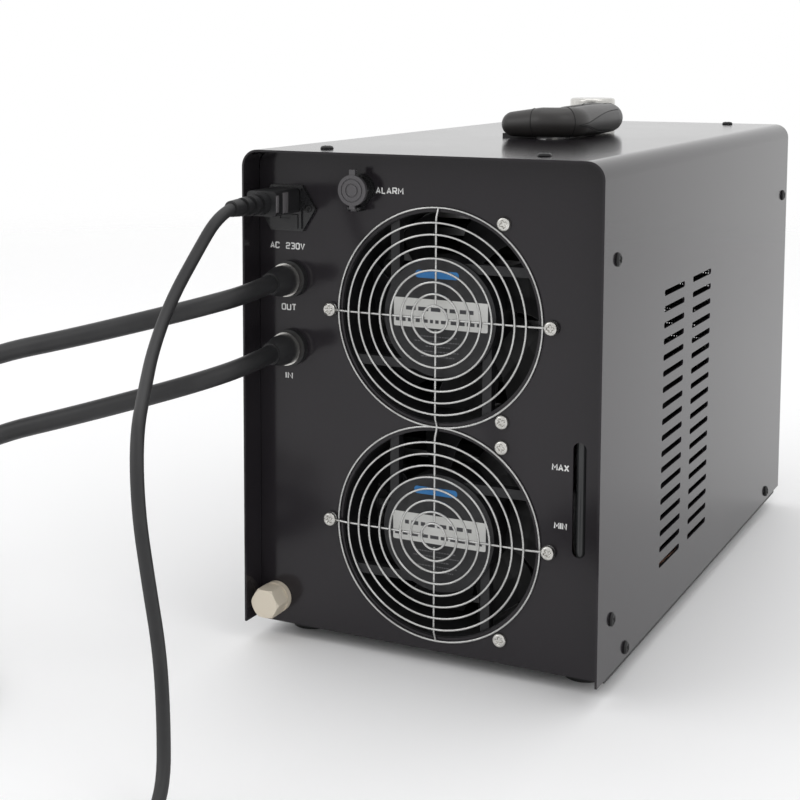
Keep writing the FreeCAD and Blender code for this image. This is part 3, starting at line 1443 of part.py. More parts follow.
def build():
    """Make and save every piece."""
    save("cover", make_cover())
    save("base_tray", make_base_tray())
    save("rear_panel", make_rear_panel())
    save("front_panel", make_front_panel())
    save("intake_grille", make_intake_grille())
    save("control_bezel", make_control_bezel())
    save("display_window", make_display_window())
    for name, (x, z) in button_places().items():
        save(name, make_button(x, z))
    save("control_board", make_control_board())
    save("feet", make_feet())
    save("cover_screws", make_cover_screws())
    for name, height in fan_heights.items():
        z = case_low + height
        save("fan_guard_" + name, fan_guard(z))
        save("fan_frame_" + name, fan_frame(z))
        save("fan_rotor_" + name, fan_rotor(z, 11.0 if name == "upper" else 30.0))
    save("fan_hubs", [fan_hub(case_low + height) for height in fan_heights.values()])
    save("guard_screws", make_guard_screws())
    save("power_inlet", make_power_inlet())
    save("fuse_drawer", make_fuse_drawer())
    save("inlet_screws", make_inlet_screws())
    save("mains_connector", make_mains_connector())
    for name, height, route in (("outlet", outlet_height, outlet_route()),
                                ("return", return_height, return_route())):
        save(name + "_port", make_port(height))
        save(name + "_ring", make_ring(height))
        save(name + "_sleeve", make_sleeve(height))
        save(name + "_hose", cord_tube(name + "_hose", route, hose_radius))
    save("mains_cable", cord_tube("mains_cable", mains_route(), mains_radius))
    save("mains_coil", coil(V(*mains_coil_centre), mains_coil_radius, mains_coil_half_width, mains_coil_height))
    save("outlet_coil", coil(V(*outlet_coil_centre), hose_coil_radius, hose_coil_half_width, hose_coil_height))
    save("return_coil", coil(V(*return_coil_centre), hose_coil_radius, hose_coil_half_width, hose_coil_height))
    save("mains_plug", make_mains_plug(V(*mains_plug_place), mains_plug_heading))
    save("outlet_fitting", make_hose_fitting(V(*outlet_fitting_place), outlet_fitting_heading))
    save("return_fitting", make_hose_fitting(V(*return_fitting_place), return_fitting_heading))
    save("alarm_socket", make_alarm_socket())
    save("alarm_cap", make_alarm_cap())
    save("drain_port", make_drain_port())
    save("drain_cap", make_drain_cap())
    save("filler_neck", make_filler_neck())
    save("filler_cap", make_filler_cap())
    save("handle_base", make_handle_base())
    save("handle", make_handle())
    save("handle_insert", insert_region(0.0))
    save("handle_pins", make_handle_pins())
    save("reservoir", make_reservoir())
    save("sight_tube", make_sight_tube())
    save("pump", make_pump())
    save("compressor", make_compressor())
    save("compressor_mounts", make_compressor_mounts())
    save("condenser", make_condenser())
    save("heat_exchanger", make_heat_exchanger())
    save("refrigerant_lines", make_refrigerant_lines())
    save("water_lines", make_water_lines())


build()
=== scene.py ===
import json
import math
import random

import bmesh
import bpy
from mathutils import Matrix, Vector


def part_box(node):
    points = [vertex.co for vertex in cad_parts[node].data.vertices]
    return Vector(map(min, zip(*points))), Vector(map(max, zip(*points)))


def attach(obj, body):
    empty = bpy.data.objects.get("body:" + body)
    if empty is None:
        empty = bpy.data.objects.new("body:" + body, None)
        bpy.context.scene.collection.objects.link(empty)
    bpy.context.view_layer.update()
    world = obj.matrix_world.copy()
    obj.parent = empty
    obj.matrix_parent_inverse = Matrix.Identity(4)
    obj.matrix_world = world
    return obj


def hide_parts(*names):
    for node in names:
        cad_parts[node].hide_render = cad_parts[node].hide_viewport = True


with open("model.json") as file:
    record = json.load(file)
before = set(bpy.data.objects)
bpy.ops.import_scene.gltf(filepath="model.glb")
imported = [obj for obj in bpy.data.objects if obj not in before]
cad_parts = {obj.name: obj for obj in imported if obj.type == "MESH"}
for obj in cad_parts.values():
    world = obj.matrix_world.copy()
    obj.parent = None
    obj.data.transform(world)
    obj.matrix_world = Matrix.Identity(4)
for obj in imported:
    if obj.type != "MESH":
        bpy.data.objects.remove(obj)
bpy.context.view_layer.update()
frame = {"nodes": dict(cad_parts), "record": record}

bl_info = {
    "name": "Bench Water Chiller",
    "version": (1, 0, 0),
    "blender": (4, 5, 0),
    "location": "3D View > Sidebar > Chiller",
    "description": "Dresses the packed water chiller and sets up its studio",
    "category": "Object",
}

# Sizes in metres. The pieces are drawn about the case's middle, as in the part's source.
HALF_DEPTH = 0.265
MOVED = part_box("cover")[0].y + HALF_DEPTH
REAR_FACE_Y = MOVED - 0.2435
HUB_FACE_Y = MOVED - 0.2410
GUARD_FRONT_Y = MOVED - 0.2487
FAN_CENTRES = {"upper": (0.0089, 0.2418), "lower": (0.0089, 0.0925)}
GUARD_RIM = 0.0747
HINGE_X, HINGE_Z = -0.013, 0.36345
GRIP_X, GRIP_Z, GRIP_BEND = 0.0305, 0.3652, 0.020
GRIP_Y = (MOVED - 0.0515, MOVED + 0.0655)
LEAF_SPAN = (0.242, 0.700)
SEAMS = (0.093, 0.228, 0.772, 0.907)
ARM_R, GRIP_R, GRIP_SWELL = 0.00975, 0.0115, 0.0006
CASE_TOP = 0.3525
CONNECTOR_SIDE_X, CONNECTOR_Z = -0.106 + 0.0114, 0.3170
LOUVRE_RIM = 0.009
LEAF_LENGTH = 0.092
# A coil's points lie this much further out than the line that they draw.
COIL_SPREAD = 1.0195
FLOOR_FADE = (1.5, 2.9)

# Listed routes, as in the part's source, in metres.
OUTLET_ROUTE = [
    (-0.104, -0.274, 0.261), (-0.1045, -0.303, 0.258), (-0.120, -0.333, 0.253), (-0.154, -0.355, 0.2435),
    (-0.204, -0.370, 0.230), (-0.255, -0.382, 0.2175), (-0.302, -0.392, 0.196), (-0.337, -0.401, 0.161),
    (-0.359, -0.408, 0.118), (-0.374, -0.413, 0.074), (-0.3825, -0.4185, 0.047), (-0.3935, -0.4265, 0.0265),
    (-0.410, -0.433, 0.013), (-0.430, -0.4345, 0.0078), (-0.448, -0.4285, 0.0067),
]
OUTLET_TAIL = [
    (-0.4857, -0.2957, 0.0338), (-0.4772, -0.2872, 0.0345), (-0.4668, -0.2808, 0.0352),
    (-0.4560, -0.2774, 0.0353), (-0.4515, -0.2764, 0.0353),
]
RETURN_ROUTE = [
    (-0.104, -0.274, 0.2122), (-0.1045, -0.303, 0.2095), (-0.121, -0.333, 0.203), (-0.156, -0.355, 0.192),
    (-0.205, -0.371, 0.177), (-0.254, -0.386, 0.163), (-0.297, -0.403, 0.139), (-0.335, -0.424, 0.103),
    (-0.360, -0.451, 0.065), (-0.3799, -0.4821, 0.044), (-0.387, -0.5008, 0.027), (-0.3823, -0.5207, 0.0145),
    (-0.3699, -0.537, 0.0085), (-0.3525, -0.5476, 0.0067),
]
RETURN_TAIL = [
    (-0.3074, -0.5510, 0.0336), (-0.2961, -0.5506, 0.0345), (-0.2851, -0.5479, 0.0352),
    (-0.2752, -0.5440, 0.0353), (-0.2715, -0.5426, 0.0353),
]
MAINS_ROUTE = [
    (-0.106, -0.320, 0.317), (-0.107, -0.335, 0.3135), (-0.112, -0.353, 0.291), (-0.114, -0.379, 0.265),
    (-0.105, -0.413, 0.240), (-0.088, -0.447, 0.223), (-0.070, -0.482, 0.205), (-0.063, -0.491, 0.165),
    (-0.055, -0.493, 0.125), (-0.048, -0.493, 0.086), (-0.044, -0.496, 0.048), (-0.035, -0.510, 0.016),
    (-0.027, -0.540, 0.0062),
]
MAINS_TAIL = [
    (0.0040, -0.6165, 0.0145), (0.0230, -0.6215, 0.0160), (0.0430, -0.6175, 0.0178),
    (0.0540, -0.6142, 0.0180), (0.0630, -0.6140, 0.0180),
]

# Pen strokes of the printed capitals, in shares of their height.
ROUND_BOX = [(0.12, 1), (0.56, 1), (0.68, 0.88), (0.68, 0.12), (0.56, 0), (0.12, 0), (0, 0.12), (0, 0.88),
             (0.12, 1)]
STROKES = {
    "A": [[(0, 0), (0.36, 1), (0.72, 0)], [(0.12, 0.3), (0.6, 0.3)]],
    "C": [[(0.68, 0.76), (0.68, 0.88), (0.56, 1), (0.12, 1), (0, 0.88), (0, 0.12), (0.12, 0), (0.56, 0),
           (0.68, 0.12), (0.68, 0.24)]],
    "I": [[(0, 0), (0, 1)]],
    "L": [[(0, 1), (0, 0), (0.58, 0)]],
    "M": [[(0, 0), (0, 1), (0.4, 0.35), (0.8, 1), (0.8, 0)]],
    "N": [[(0, 0), (0, 1), (0.68, 0), (0.68, 1)]],
    "O": [ROUND_BOX],
    "R": [[(0, 0), (0, 1), (0.56, 1), (0.68, 0.88), (0.68, 0.6), (0.56, 0.46), (0, 0.46)],
          [(0.36, 0.46), (0.68, 0)]],
    "T": [[(0, 1), (0.68, 1)], [(0.34, 1), (0.34, 0)]],
    "U": [[(0, 1), (0, 0.12), (0.12, 0), (0.56, 0), (0.68, 0.12), (0.68, 1)]],
    "V": [[(0, 1), (0.36, 0), (0.72, 1)]],
    "X": [[(0, 0), (0.7, 1)], [(0, 1), (0.7, 0)]],
    "0": [ROUND_BOX],
    "2": [[(0, 0.8), (0, 0.88), (0.12, 1), (0.56, 1), (0.68, 0.88), (0.68, 0.62), (0.56, 0.5), (0.12, 0.5),
           (0, 0.38), (0, 0), (0.68, 0)]],
    "3": [[(0, 1), (0.56, 1), (0.68, 0.88), (0.68, 0.62), (0.56, 0.5), (0.2, 0.5)],
          [(0.56, 0.5), (0.68, 0.38), (0.68, 0.12), (0.56, 0), (0, 0)]],
    " ": [],
}
LETTER_GAP = 0.34


class Port:
    """A shader socket that takes part in sums."""

    def __init__(self, finish, socket):
        self.finish = finish
        self.socket = socket

    def math(self, operation, *others):
        values = {0: self}
        for index, other in enumerate(others):
            values[index + 1] = other
        return self.finish.node("ShaderNodeMath", {"operation": operation}, values)

    def __add__(self, other):
        return self.math("ADD", other)

    __radd__ = __add__

    def __sub__(self, other):
        return self.math("SUBTRACT", other)

    def __rsub__(self, other):
        return self.finish.node("ShaderNodeMath", {"operation": "SUBTRACT"}, {0: other, 1: self})

    def __mul__(self, other):
        return self.math("MULTIPLY", other)

    __rmul__ = __mul__

    def ramp(self, low, high, to_low=0.0, to_high=1.0):
        """This value from low to high, as to_low to to_high, and no further."""
        values = {"Value": self, "From Min": low, "From Max": high, "To Min": to_low, "To Max": to_high}
        return self.finish.node("ShaderNodeMapRange", {"clamp": True}, values)


class Finish:
    """A procedural material made of nodes."""

    made = {}

    def __init__(self, name, color, roughness, **constants):
        self.material = bpy.data.materials.new(name)
        self.material.use_nodes = True
        self.tree = self.material.node_tree
        self.shader = self.tree.nodes["Principled BSDF"]
        self.material.diffuse_color = (*color, 1.0)
        self.set("Base Color", (*color, 1.0))
        self.set("Roughness", roughness)
        for key, value in constants.items():
            self.set(key.replace("_", " "), value)
        self.place = self.node("ShaderNodeTexCoord", {}, {}, "Object")
        Finish.made[name] = self.material

    def node(self, kind, settings, values, output=0):
        """A node with its settings, then its sockets' values or links."""
        node = self.tree.nodes.new(kind)
        for key, value in settings.items():
            setattr(node, key, value)
        for key, value in values.items():
            self.put(node.inputs[key], value)
        return Port(self, node.outputs[output])

    def put(self, socket, value):
        if isinstance(value, Port):
            self.tree.links.new(value.socket, socket)
        else:
            socket.default_value = value

    def set(self, name, value):
        self.put(self.shader.inputs[name], value)

    def noise(self, scale, detail=3.0, rough=0.5, stretch=None):
        """Grey noise from 0 to 1, stretched along the axes if asked."""
        place = self.place
        if stretch:
            place = self.node("ShaderNodeMapping", {}, {"Vector": place, "Scale": stretch})
        values = {"Vector": place, "Scale": scale, "Detail": detail, "Roughness": rough}
        return self.node("ShaderNodeTexNoise", {}, values, "Fac")

    def cells(self, scale):
        """Distance to the nearest cell's middle."""
        return self.node("ShaderNodeTexVoronoi", {}, {"Vector": self.place, "Scale": scale}, "Distance")

    def mix(self, factor, first, second):
        """A colour between two others."""
        values = {"Factor": factor, 6: (*first, 1.0), 7: (*second, 1.0)}
        return self.node("ShaderNodeMix", {"data_type": "RGBA"}, values, 2)

    def bump(self, height, strength, distance):
        values = {"Height": height, "Strength": strength, "Distance": distance}
        self.set("Normal", self.node("ShaderNodeBump", {}, values))


def powder_coat(name, color, roughness, lighter):
    """Baked powder paint: fine orange peel, faint cloudiness and a little dust."""
    finish = Finish(name, color, roughness, Specular_IOR_Level=0.3)
    cloud = finish.noise(6.0, 3.0, 0.6)
    speck = finish.noise(1400.0, 2.0, 0.5)
    finish.set("Base Color", finish.mix(cloud * 0.6 + speck.ramp(0.5, 0.75) * 0.4, color, lighter))
    finish.set("Roughness", cloud * 0.06 + speck * 0.05 + (roughness - 0.055))
    finish.bump(finish.noise(620.0, 2.0, 0.45), 0.09, 0.0002)
    return finish


def moulded_plastic(name, color, roughness, lighter, grain=1500.0, depth=0.12):
    """Moulded plastic with a fine eroded grain."""
    finish = Finish(name, color, roughness)
    cloud = finish.noise(18.0, 2.0, 0.5)
    grains = finish.cells(grain)
    finish.set("Base Color", finish.mix(cloud.ramp(0.3, 0.75), color, lighter))
    finish.set("Roughness", cloud * 0.1 + grains * 0.05 + (roughness - 0.06))
    finish.bump(grains + finish.noise(grain * 1.7) * 0.6, depth, 0.00025)
    return finish


def bare_metal(name, color, roughness, darker, metallic=1.0, scale=90.0):
    """Plated or bare metal with faint handling marks."""
    finish = Finish(name, color, roughness, Metallic=metallic)
    smear = finish.noise(scale, 4.0, 0.6)
    fine = finish.noise(scale * 14.0, 2.0, 0.5)
    finish.set("Base Color", finish.mix(smear.ramp(0.35, 0.8), color, darker))
    finish.set("Roughness", smear * 0.12 + fine * 0.05 + (roughness - 0.07))
    finish.bump(fine, 0.05, 0.0001)
    return finish


def soft_rubber(name, color, roughness, lighter):
    """Rubber or cable sheath, matt with a light bloom."""
    finish = Finish(name, color, roughness)
    bloom = finish.noise(40.0, 4.0, 0.6)
    pores = finish.noise(2600.0, 2.0, 0.5)
    finish.set("Base Color", finish.mix(bloom.ramp(0.4, 0.85), color, lighter))
    finish.set("Roughness", bloom * 0.14 + pores * 0.06 + (roughness - 0.1))
    finish.bump(pores, 0.12, 0.0002)
    return finish


def make_finishes(look):
    """Every finish of the chiller."""
    coat = tuple(look.coat_color)
    powder_coat("case_paint", coat, look.coat_roughness, tuple(c * 1.3 for c in coat))
    powder_coat("tray_steel", (0.012, 0.012, 0.013), 0.5, (0.02, 0.02, 0.02))
    bare_metal("zinc_steel", (0.72, 0.70, 0.66), 0.26, (0.52, 0.50, 0.47))
    bare_metal("chrome_wire", (0.60, 0.60, 0.59), 0.26, (0.44, 0.44, 0.43), scale=160.0)
    bare_metal("bright_metal", (0.66, 0.65, 0.62), 0.22, (0.46, 0.45, 0.43))
    bare_metal("cast_metal", (0.022, 0.022, 0.024), 0.42, (0.012, 0.012, 0.013), metallic=0.2, scale=240.0)
    moulded_plastic("black_plastic", (0.012, 0.012, 0.013), 0.42, (0.020, 0.020, 0.021))
    moulded_plastic("gloss_black", (0.010, 0.010, 0.011), 0.26, (0.016, 0.016, 0.017), depth=0.05)
    moulded_plastic("grey_plastic", (0.16, 0.165, 0.17), 0.5, (0.2, 0.205, 0.21))
    moulded_plastic("cream_plastic", (0.62, 0.545, 0.44), 0.42, (0.70, 0.64, 0.53), grain=900.0, depth=0.06)
    bare_metal("screw_black", (0.025, 0.025, 0.026), 0.38, (0.012, 0.012, 0.012), metallic=0.55)
    soft_rubber("rubber_black", (0.010, 0.010, 0.010), 0.7, (0.022, 0.022, 0.022))
    soft_rubber("cable_black", (0.013, 0.013, 0.014), 0.5, (0.024, 0.024, 0.025))
    soft_rubber("hose_black", (0.010, 0.010, 0.011), 0.46, (0.022, 0.022, 0.023))
    moulded_plastic("display_pane", (0.008, 0.010, 0.012), 0.12, (0.012, 0.014, 0.017), depth=0.02)
    moulded_plastic("clear_tube", (0.020, 0.021, 0.022), 0.14, (0.034, 0.035, 0.036), depth=0.02)
    moulded_plastic("tank_plastic", (0.030, 0.031, 0.032), 0.5, (0.045, 0.046, 0.047))
    moulded_plastic("cap_grey", (0.070, 0.066, 0.071), 0.44, (0.085, 0.081, 0.086))
    bare_metal("copper", (0.72, 0.36, 0.22), 0.3, (0.48, 0.24, 0.15))
    moulded_plastic("board_green", (0.02, 0.09, 0.04), 0.5, (0.03, 0.13, 0.06))
    bare_metal("fin_metal", (0.35, 0.35, 0.35), 0.45, (0.22, 0.22, 0.22))
    soft_rubber("soft_pad", (0.020, 0.019, 0.019), 0.42, (0.028, 0.027, 0.027))
    moulded_plastic("handle_plastic", (0.024, 0.022, 0.021), 0.36, (0.032, 0.030, 0.029))
    moulded_plastic("seam_dark", (0.003, 0.003, 0.003), 0.6, (0.005, 0.005, 0.005))
    # Pale grey that paints the highlights on the mains connector's rounded ridges.
    moulded_plastic("painted_highlight_grey", (0.095, 0.090, 0.094), 0.4, (0.12, 0.115, 0.12))
    moulded_plastic("white_print", (0.80, 0.80, 0.79), 0.55, (0.86, 0.86, 0.85), depth=0.03)
    moulded_plastic("label_paper", (0.62, 0.62, 0.60), 0.6, (0.72, 0.72, 0.70), depth=0.04)
    moulded_plastic("label_ink", (0.04, 0.04, 0.045), 0.55, (0.09, 0.09, 0.095), depth=0.02)
    moulded_plastic("label_grey", (0.10, 0.10, 0.105), 0.55, (0.14, 0.14, 0.145), depth=0.02)
    moulded_plastic("label_blue", (0.02, 0.16, 0.42), 0.5, (0.03, 0.21, 0.5), depth=0.02)


def node_finish():
    """Each carried-over node takes its slot's finish, and the alarm cap a paler grey."""
    slots = {row["node"]: row["material_slot"] for row in frame["record"]["subparts"]}
    slots["alarm_cap"] = "cap_grey"
    for name, obj in frame["nodes"].items():
        obj.data.materials.clear()
        obj.data.materials.append(Finish.made[slots[name]])


def link(obj, finish, body):
    """Puts an object in the scene with its finish, on its body."""
    if obj.name not in bpy.context.scene.collection.objects:
        bpy.context.scene.collection.objects.link(obj)
    obj.data.materials.clear()
    obj.data.materials.append(Finish.made[finish])
    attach(obj, body)
    return obj


def mesh_piece(name, verts, faces, finish, body, smooth=True):
    """A mesh object from its points and faces."""
    mesh = bpy.data.meshes.new(name)
    mesh.from_pydata([tuple(v) for v in verts], [], faces)
    mesh.validate()
    bm = bmesh.new()
    bm.from_mesh(mesh)
    bmesh.ops.recalc_face_normals(bm, faces=bm.faces)
    bm.to_mesh(mesh)
    bm.free()
    if smooth:
        mesh.polygons.foreach_set("use_smooth", [True] * len(mesh.polygons))
    obj = bpy.data.objects.new(name, mesh)
    return link(obj, finish, body)


class Shape:
    """Points and faces that are gathered into one piece."""

    def __init__(self):
        self.verts = []
        self.faces = []

    def add(self, verts, faces, matrix=None):
        start = len(self.verts)
        for v in verts:
            self.verts.append(matrix @ Vector(v) if matrix else Vector(v))
        for face in faces:
            self.faces.append([i + start for i in face])

    def lathe(self, profile, matrix, turns=40):
        """Turns (radius, height) points about the matrix's Z, closed at radius 0."""
        verts, faces, rings = [], [], []
        for radius, height in profile:
            if radius < 1e-9:
                rings.append([len(verts)])
                verts.append((0.0, 0.0, height))
            else:
                rings.append(list(range(len(verts), len(verts) + turns)))
                for k in range(turns):
                    a = 2.0 * math.pi * k / turns
                    verts.append((radius * math.cos(a), radius * math.sin(a), height))
        for low, high in zip(rings, rings[1:]):
            for k in range(turns):
                a, b = low[k % len(low)], low[(k + 1) % len(low)]
                c, d = high[(k + 1) % len(high)], high[k % len(high)]
                face = [a, b, c, d]
                faces.append([v for i, v in enumerate(face) if v not in face[:i]])
        self.add(verts, [f for f in faces if len(f) > 2], matrix)

    def block(self, low, high, matrix=None):
        """A plain block between two corners."""
        x, y, z = zip(low, high)
        verts = [(x[i], y[j], z[k]) for i in (0, 1) for j in (0, 1) for k in (0, 1)]
        faces = [[0, 1, 3, 2], [4, 6, 7, 5], [0, 4, 5, 1], [2, 3, 7, 6], [0, 2, 6, 4], [1, 5, 7, 3]]
        self.add(verts, faces, matrix)

    def sweep(self, sections, around=48):
        """Skin over round sections, each a (centre, direction, radius), closed at both ends."""
        verts, faces = [], []
        for centre, ahead, radius in sections:
            side = Vector((ahead.y, -ahead.x, 0.0)).normalized()
            up = side.cross(ahead).normalized()
            for k in range(around):
                a = 2.0 * math.pi * k / around
                verts.append(centre + radius * (math.cos(a) * side + math.sin(a) * up))
        for ring in range(len(sections) - 1):
            low, high = ring * around, (ring + 1) * around
            for k in range(around):
                faces.append([low + k, low + (k + 1) % around, high + (k + 1) % around, high + k])
        faces.append(list(reversed(range(around))))
        faces.append([(len(sections) - 1) * around + k for k in range(around)])
        self.add(verts, faces)

    def piece(self, name, finish, body, smooth=True):
        return mesh_piece(name, self.verts, self.faces, finish, body, smooth)


def facing(place, direction):
    """A matrix at a place whose Z points along a direction."""
    return Matrix.Translation(place) @ Vector(direction).to_track_quat("Z", "Y").to_matrix().to_4x4()


def recess_depth(x, y, radius, depth):
    """Depth of a cross recess at a point of a screw's head."""
    arm, width = radius * 0.62, radius * 0.16
    depths = []
    for along, across in ((abs(x), abs(y)), (abs(y), abs(x))):
        side = min(1.0, max(0.0, (width * 1.5 - across) / (width * 0.7)))
        end = min(1.0, max(0.0, (arm - along) / (radius * 0.22)))
        depths.append(side * end)
    return depth * max(depths)


def screw_head(shape, place, direction, radius, height, spin):
    """Domed pan head with a cross recess."""
    matrix = facing(place, direction) @ Matrix.Rotation(spin, 4, "Z")
    rings, turns = 14, 40
    verts, faces = [(0.0, 0.0, height * 0.52)], []
    for ring in range(1, rings + 1):
        share = ring / rings
        r = radius * share
        dome = height * (1.0 - 0.28 * share ** 2 - 0.42 * share ** 12)
        for k in range(turns):
            a = 2.0 * math.pi * k / turns
            x, y = r * math.cos(a), r * math.sin(a)
            verts.append((x, y, dome - recess_depth(x, y, radius, height * 0.55)))
    for k in range(turns):
        verts.append((radius * math.cos(2.0 * math.pi * k / turns),
                      radius * math.sin(2.0 * math.pi * k / turns), 0.0))
    for k in range(turns):
        faces.append([0, 1 + k, 1 + (k + 1) % turns])
    for ring in range(rings):
        low, high = 1 + ring * turns, 1 + (ring + 1) * turns
        for k in range(turns):
            faces.append([low + k, high + k, high + (k + 1) % turns, low + (k + 1) % turns])
    faces.append([1 + rings * turns + k for k in reversed(range(turns))])
    shape.add(verts, faces, matrix)


def groups(node):
    """Centre and size of each separate solid of a node."""
    mesh = frame["nodes"][node].data
    parent = list(range(len(mesh.vertices)))

    def root(i):
        while parent[i] != i:
            parent[i] = parent[parent[i]]
            i = parent[i]
        return i

    for edge in mesh.edges:
        a, b = (root(i) for i in edge.vertices)
        parent[a] = b
    places = {}
    for vertex in mesh.vertices:
        key = tuple(round(c, 5) for c in vertex.co)
        places.setdefault(key, []).append(vertex.index)
    for same in places.values():
        for index in same[1:]:
            parent[root(index)] = root(same[0])
    found = {}
    for vertex in mesh.vertices:
        found.setdefault(root(vertex.index), []).append(vertex.co)
    boxes = []
    for points in found.values():
        low = Vector([min(p[i] for p in points) for i in range(3)])
        high = Vector([max(p[i] for p in points) for i in range(3)])
        boxes.append((low, high))
    return sorted(boxes, key=lambda b: tuple(round(c, 4) for c in b[0]))


def cord_curve(name, points, radius, finish, body="case"):
    """One smooth open line through given points, with a round section."""
    data = bpy.data.curves.new(name, "CURVE")
    data.dimensions = "3D"
    spline = data.splines.new("NURBS")
    spline.points.add(len(points) - 1)
    for point, place in zip(spline.points, points):
        point.co = (*place, 1.0)
    spline.order_u = 3
    spline.use_endpoint_u = True
    spline.resolution_u = 6
    data.bevel_depth = radius
    data.bevel_resolution = 5
    data.use_fill_caps = True
    return link(bpy.data.objects.new(name, data), finish, body)


def moved(points):
    """Points drawn about the case's middle, in their place in the frame."""
    return [(x, y + MOVED, z) for x, y, z in points]


def eased(share):
    share = min(1.0, max(0.0, share))
    return share * share * (3.0 - 2.0 * share)


def coil_points(centre, start, direction, turns, shape, per_turn=16):
    """Points round a coil: shape gives radius and height at each turn."""
    points = []
    count = int(round(turns * per_turn))
    for step in range(count + 1):
        turn = step * turns / count
        radius, height = shape(turn)
        angle = math.radians(start) + direction * 2.0 * math.pi * turn
        radius *= COIL_SPREAD
        points.append((centre[0] + radius * math.cos(angle), centre[1] + radius * math.sin(angle), height))
    return points


def mains_coil_shape(turn):
    """Spiral in on the floor, then out again on top of it."""
    if turn < 2.0:
        return 0.0518 - 0.0084 * turn, 0.0042
    radius = 0.0350 + 0.0084 * max(0.0, turn - 2.3)
    return radius, 0.0042 + 0.0088 * eased((turn - 2.0) / 0.3)


def hose_coil_shape(turn, lift_at):
    """One wide turn and one narrow one on the floor, and the rest on top of both."""
    if turn < 1.5:
        return 0.0790 - 0.0136 * eased((turn - 0.66) / 0.30), 0.0067
    rise = 0.0127 * eased((turn - 1.5) / 0.26) + 0.0142 * eased((turn - lift_at) / 0.26)
    return 0.0654 + 0.0068 * eased((turn - 1.58) / 0.34), 0.0067 + rise


def word(name, text, place, cap, width, body="case"):
    """White word on the rear panel in flat pen strokes, its left end at a place."""
    data = bpy.data.curves.new(name, "CURVE")
    data.dimensions = "3D"
    data.bevel_depth = cap * 0.105
    data.bevel_resolution = 1
    data.use_fill_caps = True
    widths = [max([x for line in STROKES[letter] for x, _ in line] or [0.28]) for letter in text]
    pen = 0.21 * cap
    stretch = (width - pen) / (cap * (sum(widths) + LETTER_GAP * (len(text) - 1)))
    cursor = 0.0
    for letter, wide in zip(text, widths):
        for line in STROKES[letter]:
            wire(data, [(((cursor + x) * stretch) * cap, y * (cap - pen), 0.0) for x, y in line])
        cursor += wide + LETTER_GAP
    obj = bpy.data.objects.new(name, data)
    obj.rotation_euler = (math.radians(90.0), 0.0, 0.0)
    obj.scale = (1.0, 1.0, 0.12)
    obj.location = (place[0] + pen / 2.0, REAR_FACE_Y - 0.00002, place[1] + pen / 2.0)
    return link(obj, "white_print", body)


def wire(data, points, closed=False):
    """A run of bent wire in a curve."""
    spline = data.splines.new("POLY")
    spline.points.add(len(points) - 1)
    for point, place in zip(spline.points, points):
        point.co = (*place, 1.0)
    spline.use_cyclic_u = closed


def ring_points(x, y, z, radius, count=96):
    return [(x + radius * math.cos(2.0 * math.pi * k / count), y, z + radius * math.sin(2.0 * math.pi * k / count))
            for k in range(count)]


def make_guard(name, node, centre, wire_radius):
    """Wire guard: rings in front, four spokes behind them, and two eyes."""
    x, z = centre
    data = bpy.data.curves.new(name, "CURVE")
    data.dimensions = "3D"
    data.bevel_depth = wire_radius
    data.bevel_resolution = 3
    data.use_fill_caps = True
    front = GUARD_FRONT_Y
    behind = front + 1.75 * wire_radius
    flat = REAR_FACE_Y - wire_radius - 0.0001
    for index in range(8):
        wire(data, ring_points(x, front, z, 0.009 + 0.008 * index), True)
    wire(data, ring_points(x, flat, z, GUARD_RIM), True)
    for side in (-1, 1):
        run = [(0.0080, behind), (0.0660, behind), (0.0690, behind + 0.0002), (0.0722, flat - 0.0020),
               (0.0746, flat - 0.0019), (0.0764, flat - 0.0004), (0.0770, flat)]
        wire(data, [(x + side * r, y, z) for r, y in run])
        eye = [(x + side * (0.0810 - 0.0042 * math.cos(a)), flat, z + 0.0042 * math.sin(a))
               for a in [2.0 * math.pi * k / 32 for k in range(32)]]
        wire(data, eye, True)
        run = [(0.0080, behind), (0.0660, behind), (0.0686, behind + 0.0005), (0.0716, flat - 0.0007),
               (0.0734, flat), (GUARD_RIM, flat)]
        wire(data, [(x, y, z + side * r) for r, y in run])
    guard = link(bpy.data.objects.new(name, data), "chrome_wire", "case")
    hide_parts(node)
    return guard


def make_screws(name, node, radius, height, finish, rng):
    """Cross-recessed pan heads where a node has its screws."""
    shape = Shape()
    for low, high in groups(node):
        middle = (low + high) / 2.0
        if low.z > CASE_TOP - 0.012 and high.z > CASE_TOP:
            place, direction = Vector((middle.x, middle.y, high.z - height)), (0, 0, 1)
        elif low.y < REAR_FACE_Y:
            place, direction = Vector((middle.x, low.y + height, middle.z)), (0, -1, 0)
        elif middle.x > 0:
            place, direction = Vector((high.x - height, middle.y, middle.z)), (1, 0, 0)
        else:
            place, direction = Vector((low.x + height, middle.y, middle.z)), (-1, 0, 0)
        screw_head(shape, place, direction, radius, height, rng.uniform(0.0, math.pi))
    screws = shape.piece(name, finish, "case")
    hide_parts(node)
    return screws


def rounded_card(shape, x, z, width, height, y, thick, corner):
    """Thin card with round corners, facing the rear."""
    outline = []
    for cx, cz, start in ((1, 1, 0), (-1, 1, 90), (-1, -1, 180), (1, -1, 270)):
        for k in range(7):
            a = math.radians(start + 15.0 * k)
            outline.append((x + cx * (width / 2 - corner) + corner * math.cos(a),
                            z + cz * (height / 2 - corner) + corner * math.sin(a)))
    count = len(outline)
    verts = [(px, y, pz) for px, pz in outline] + [(px, y + thick, pz) for px, pz in outline]
    faces = [list(range(count)), [count + k for k in reversed(range(count))]]
    faces += [[k, k + count, (k + 1) % count + count, (k + 1) % count] for k in range(count)]
    shape.add(verts, faces)


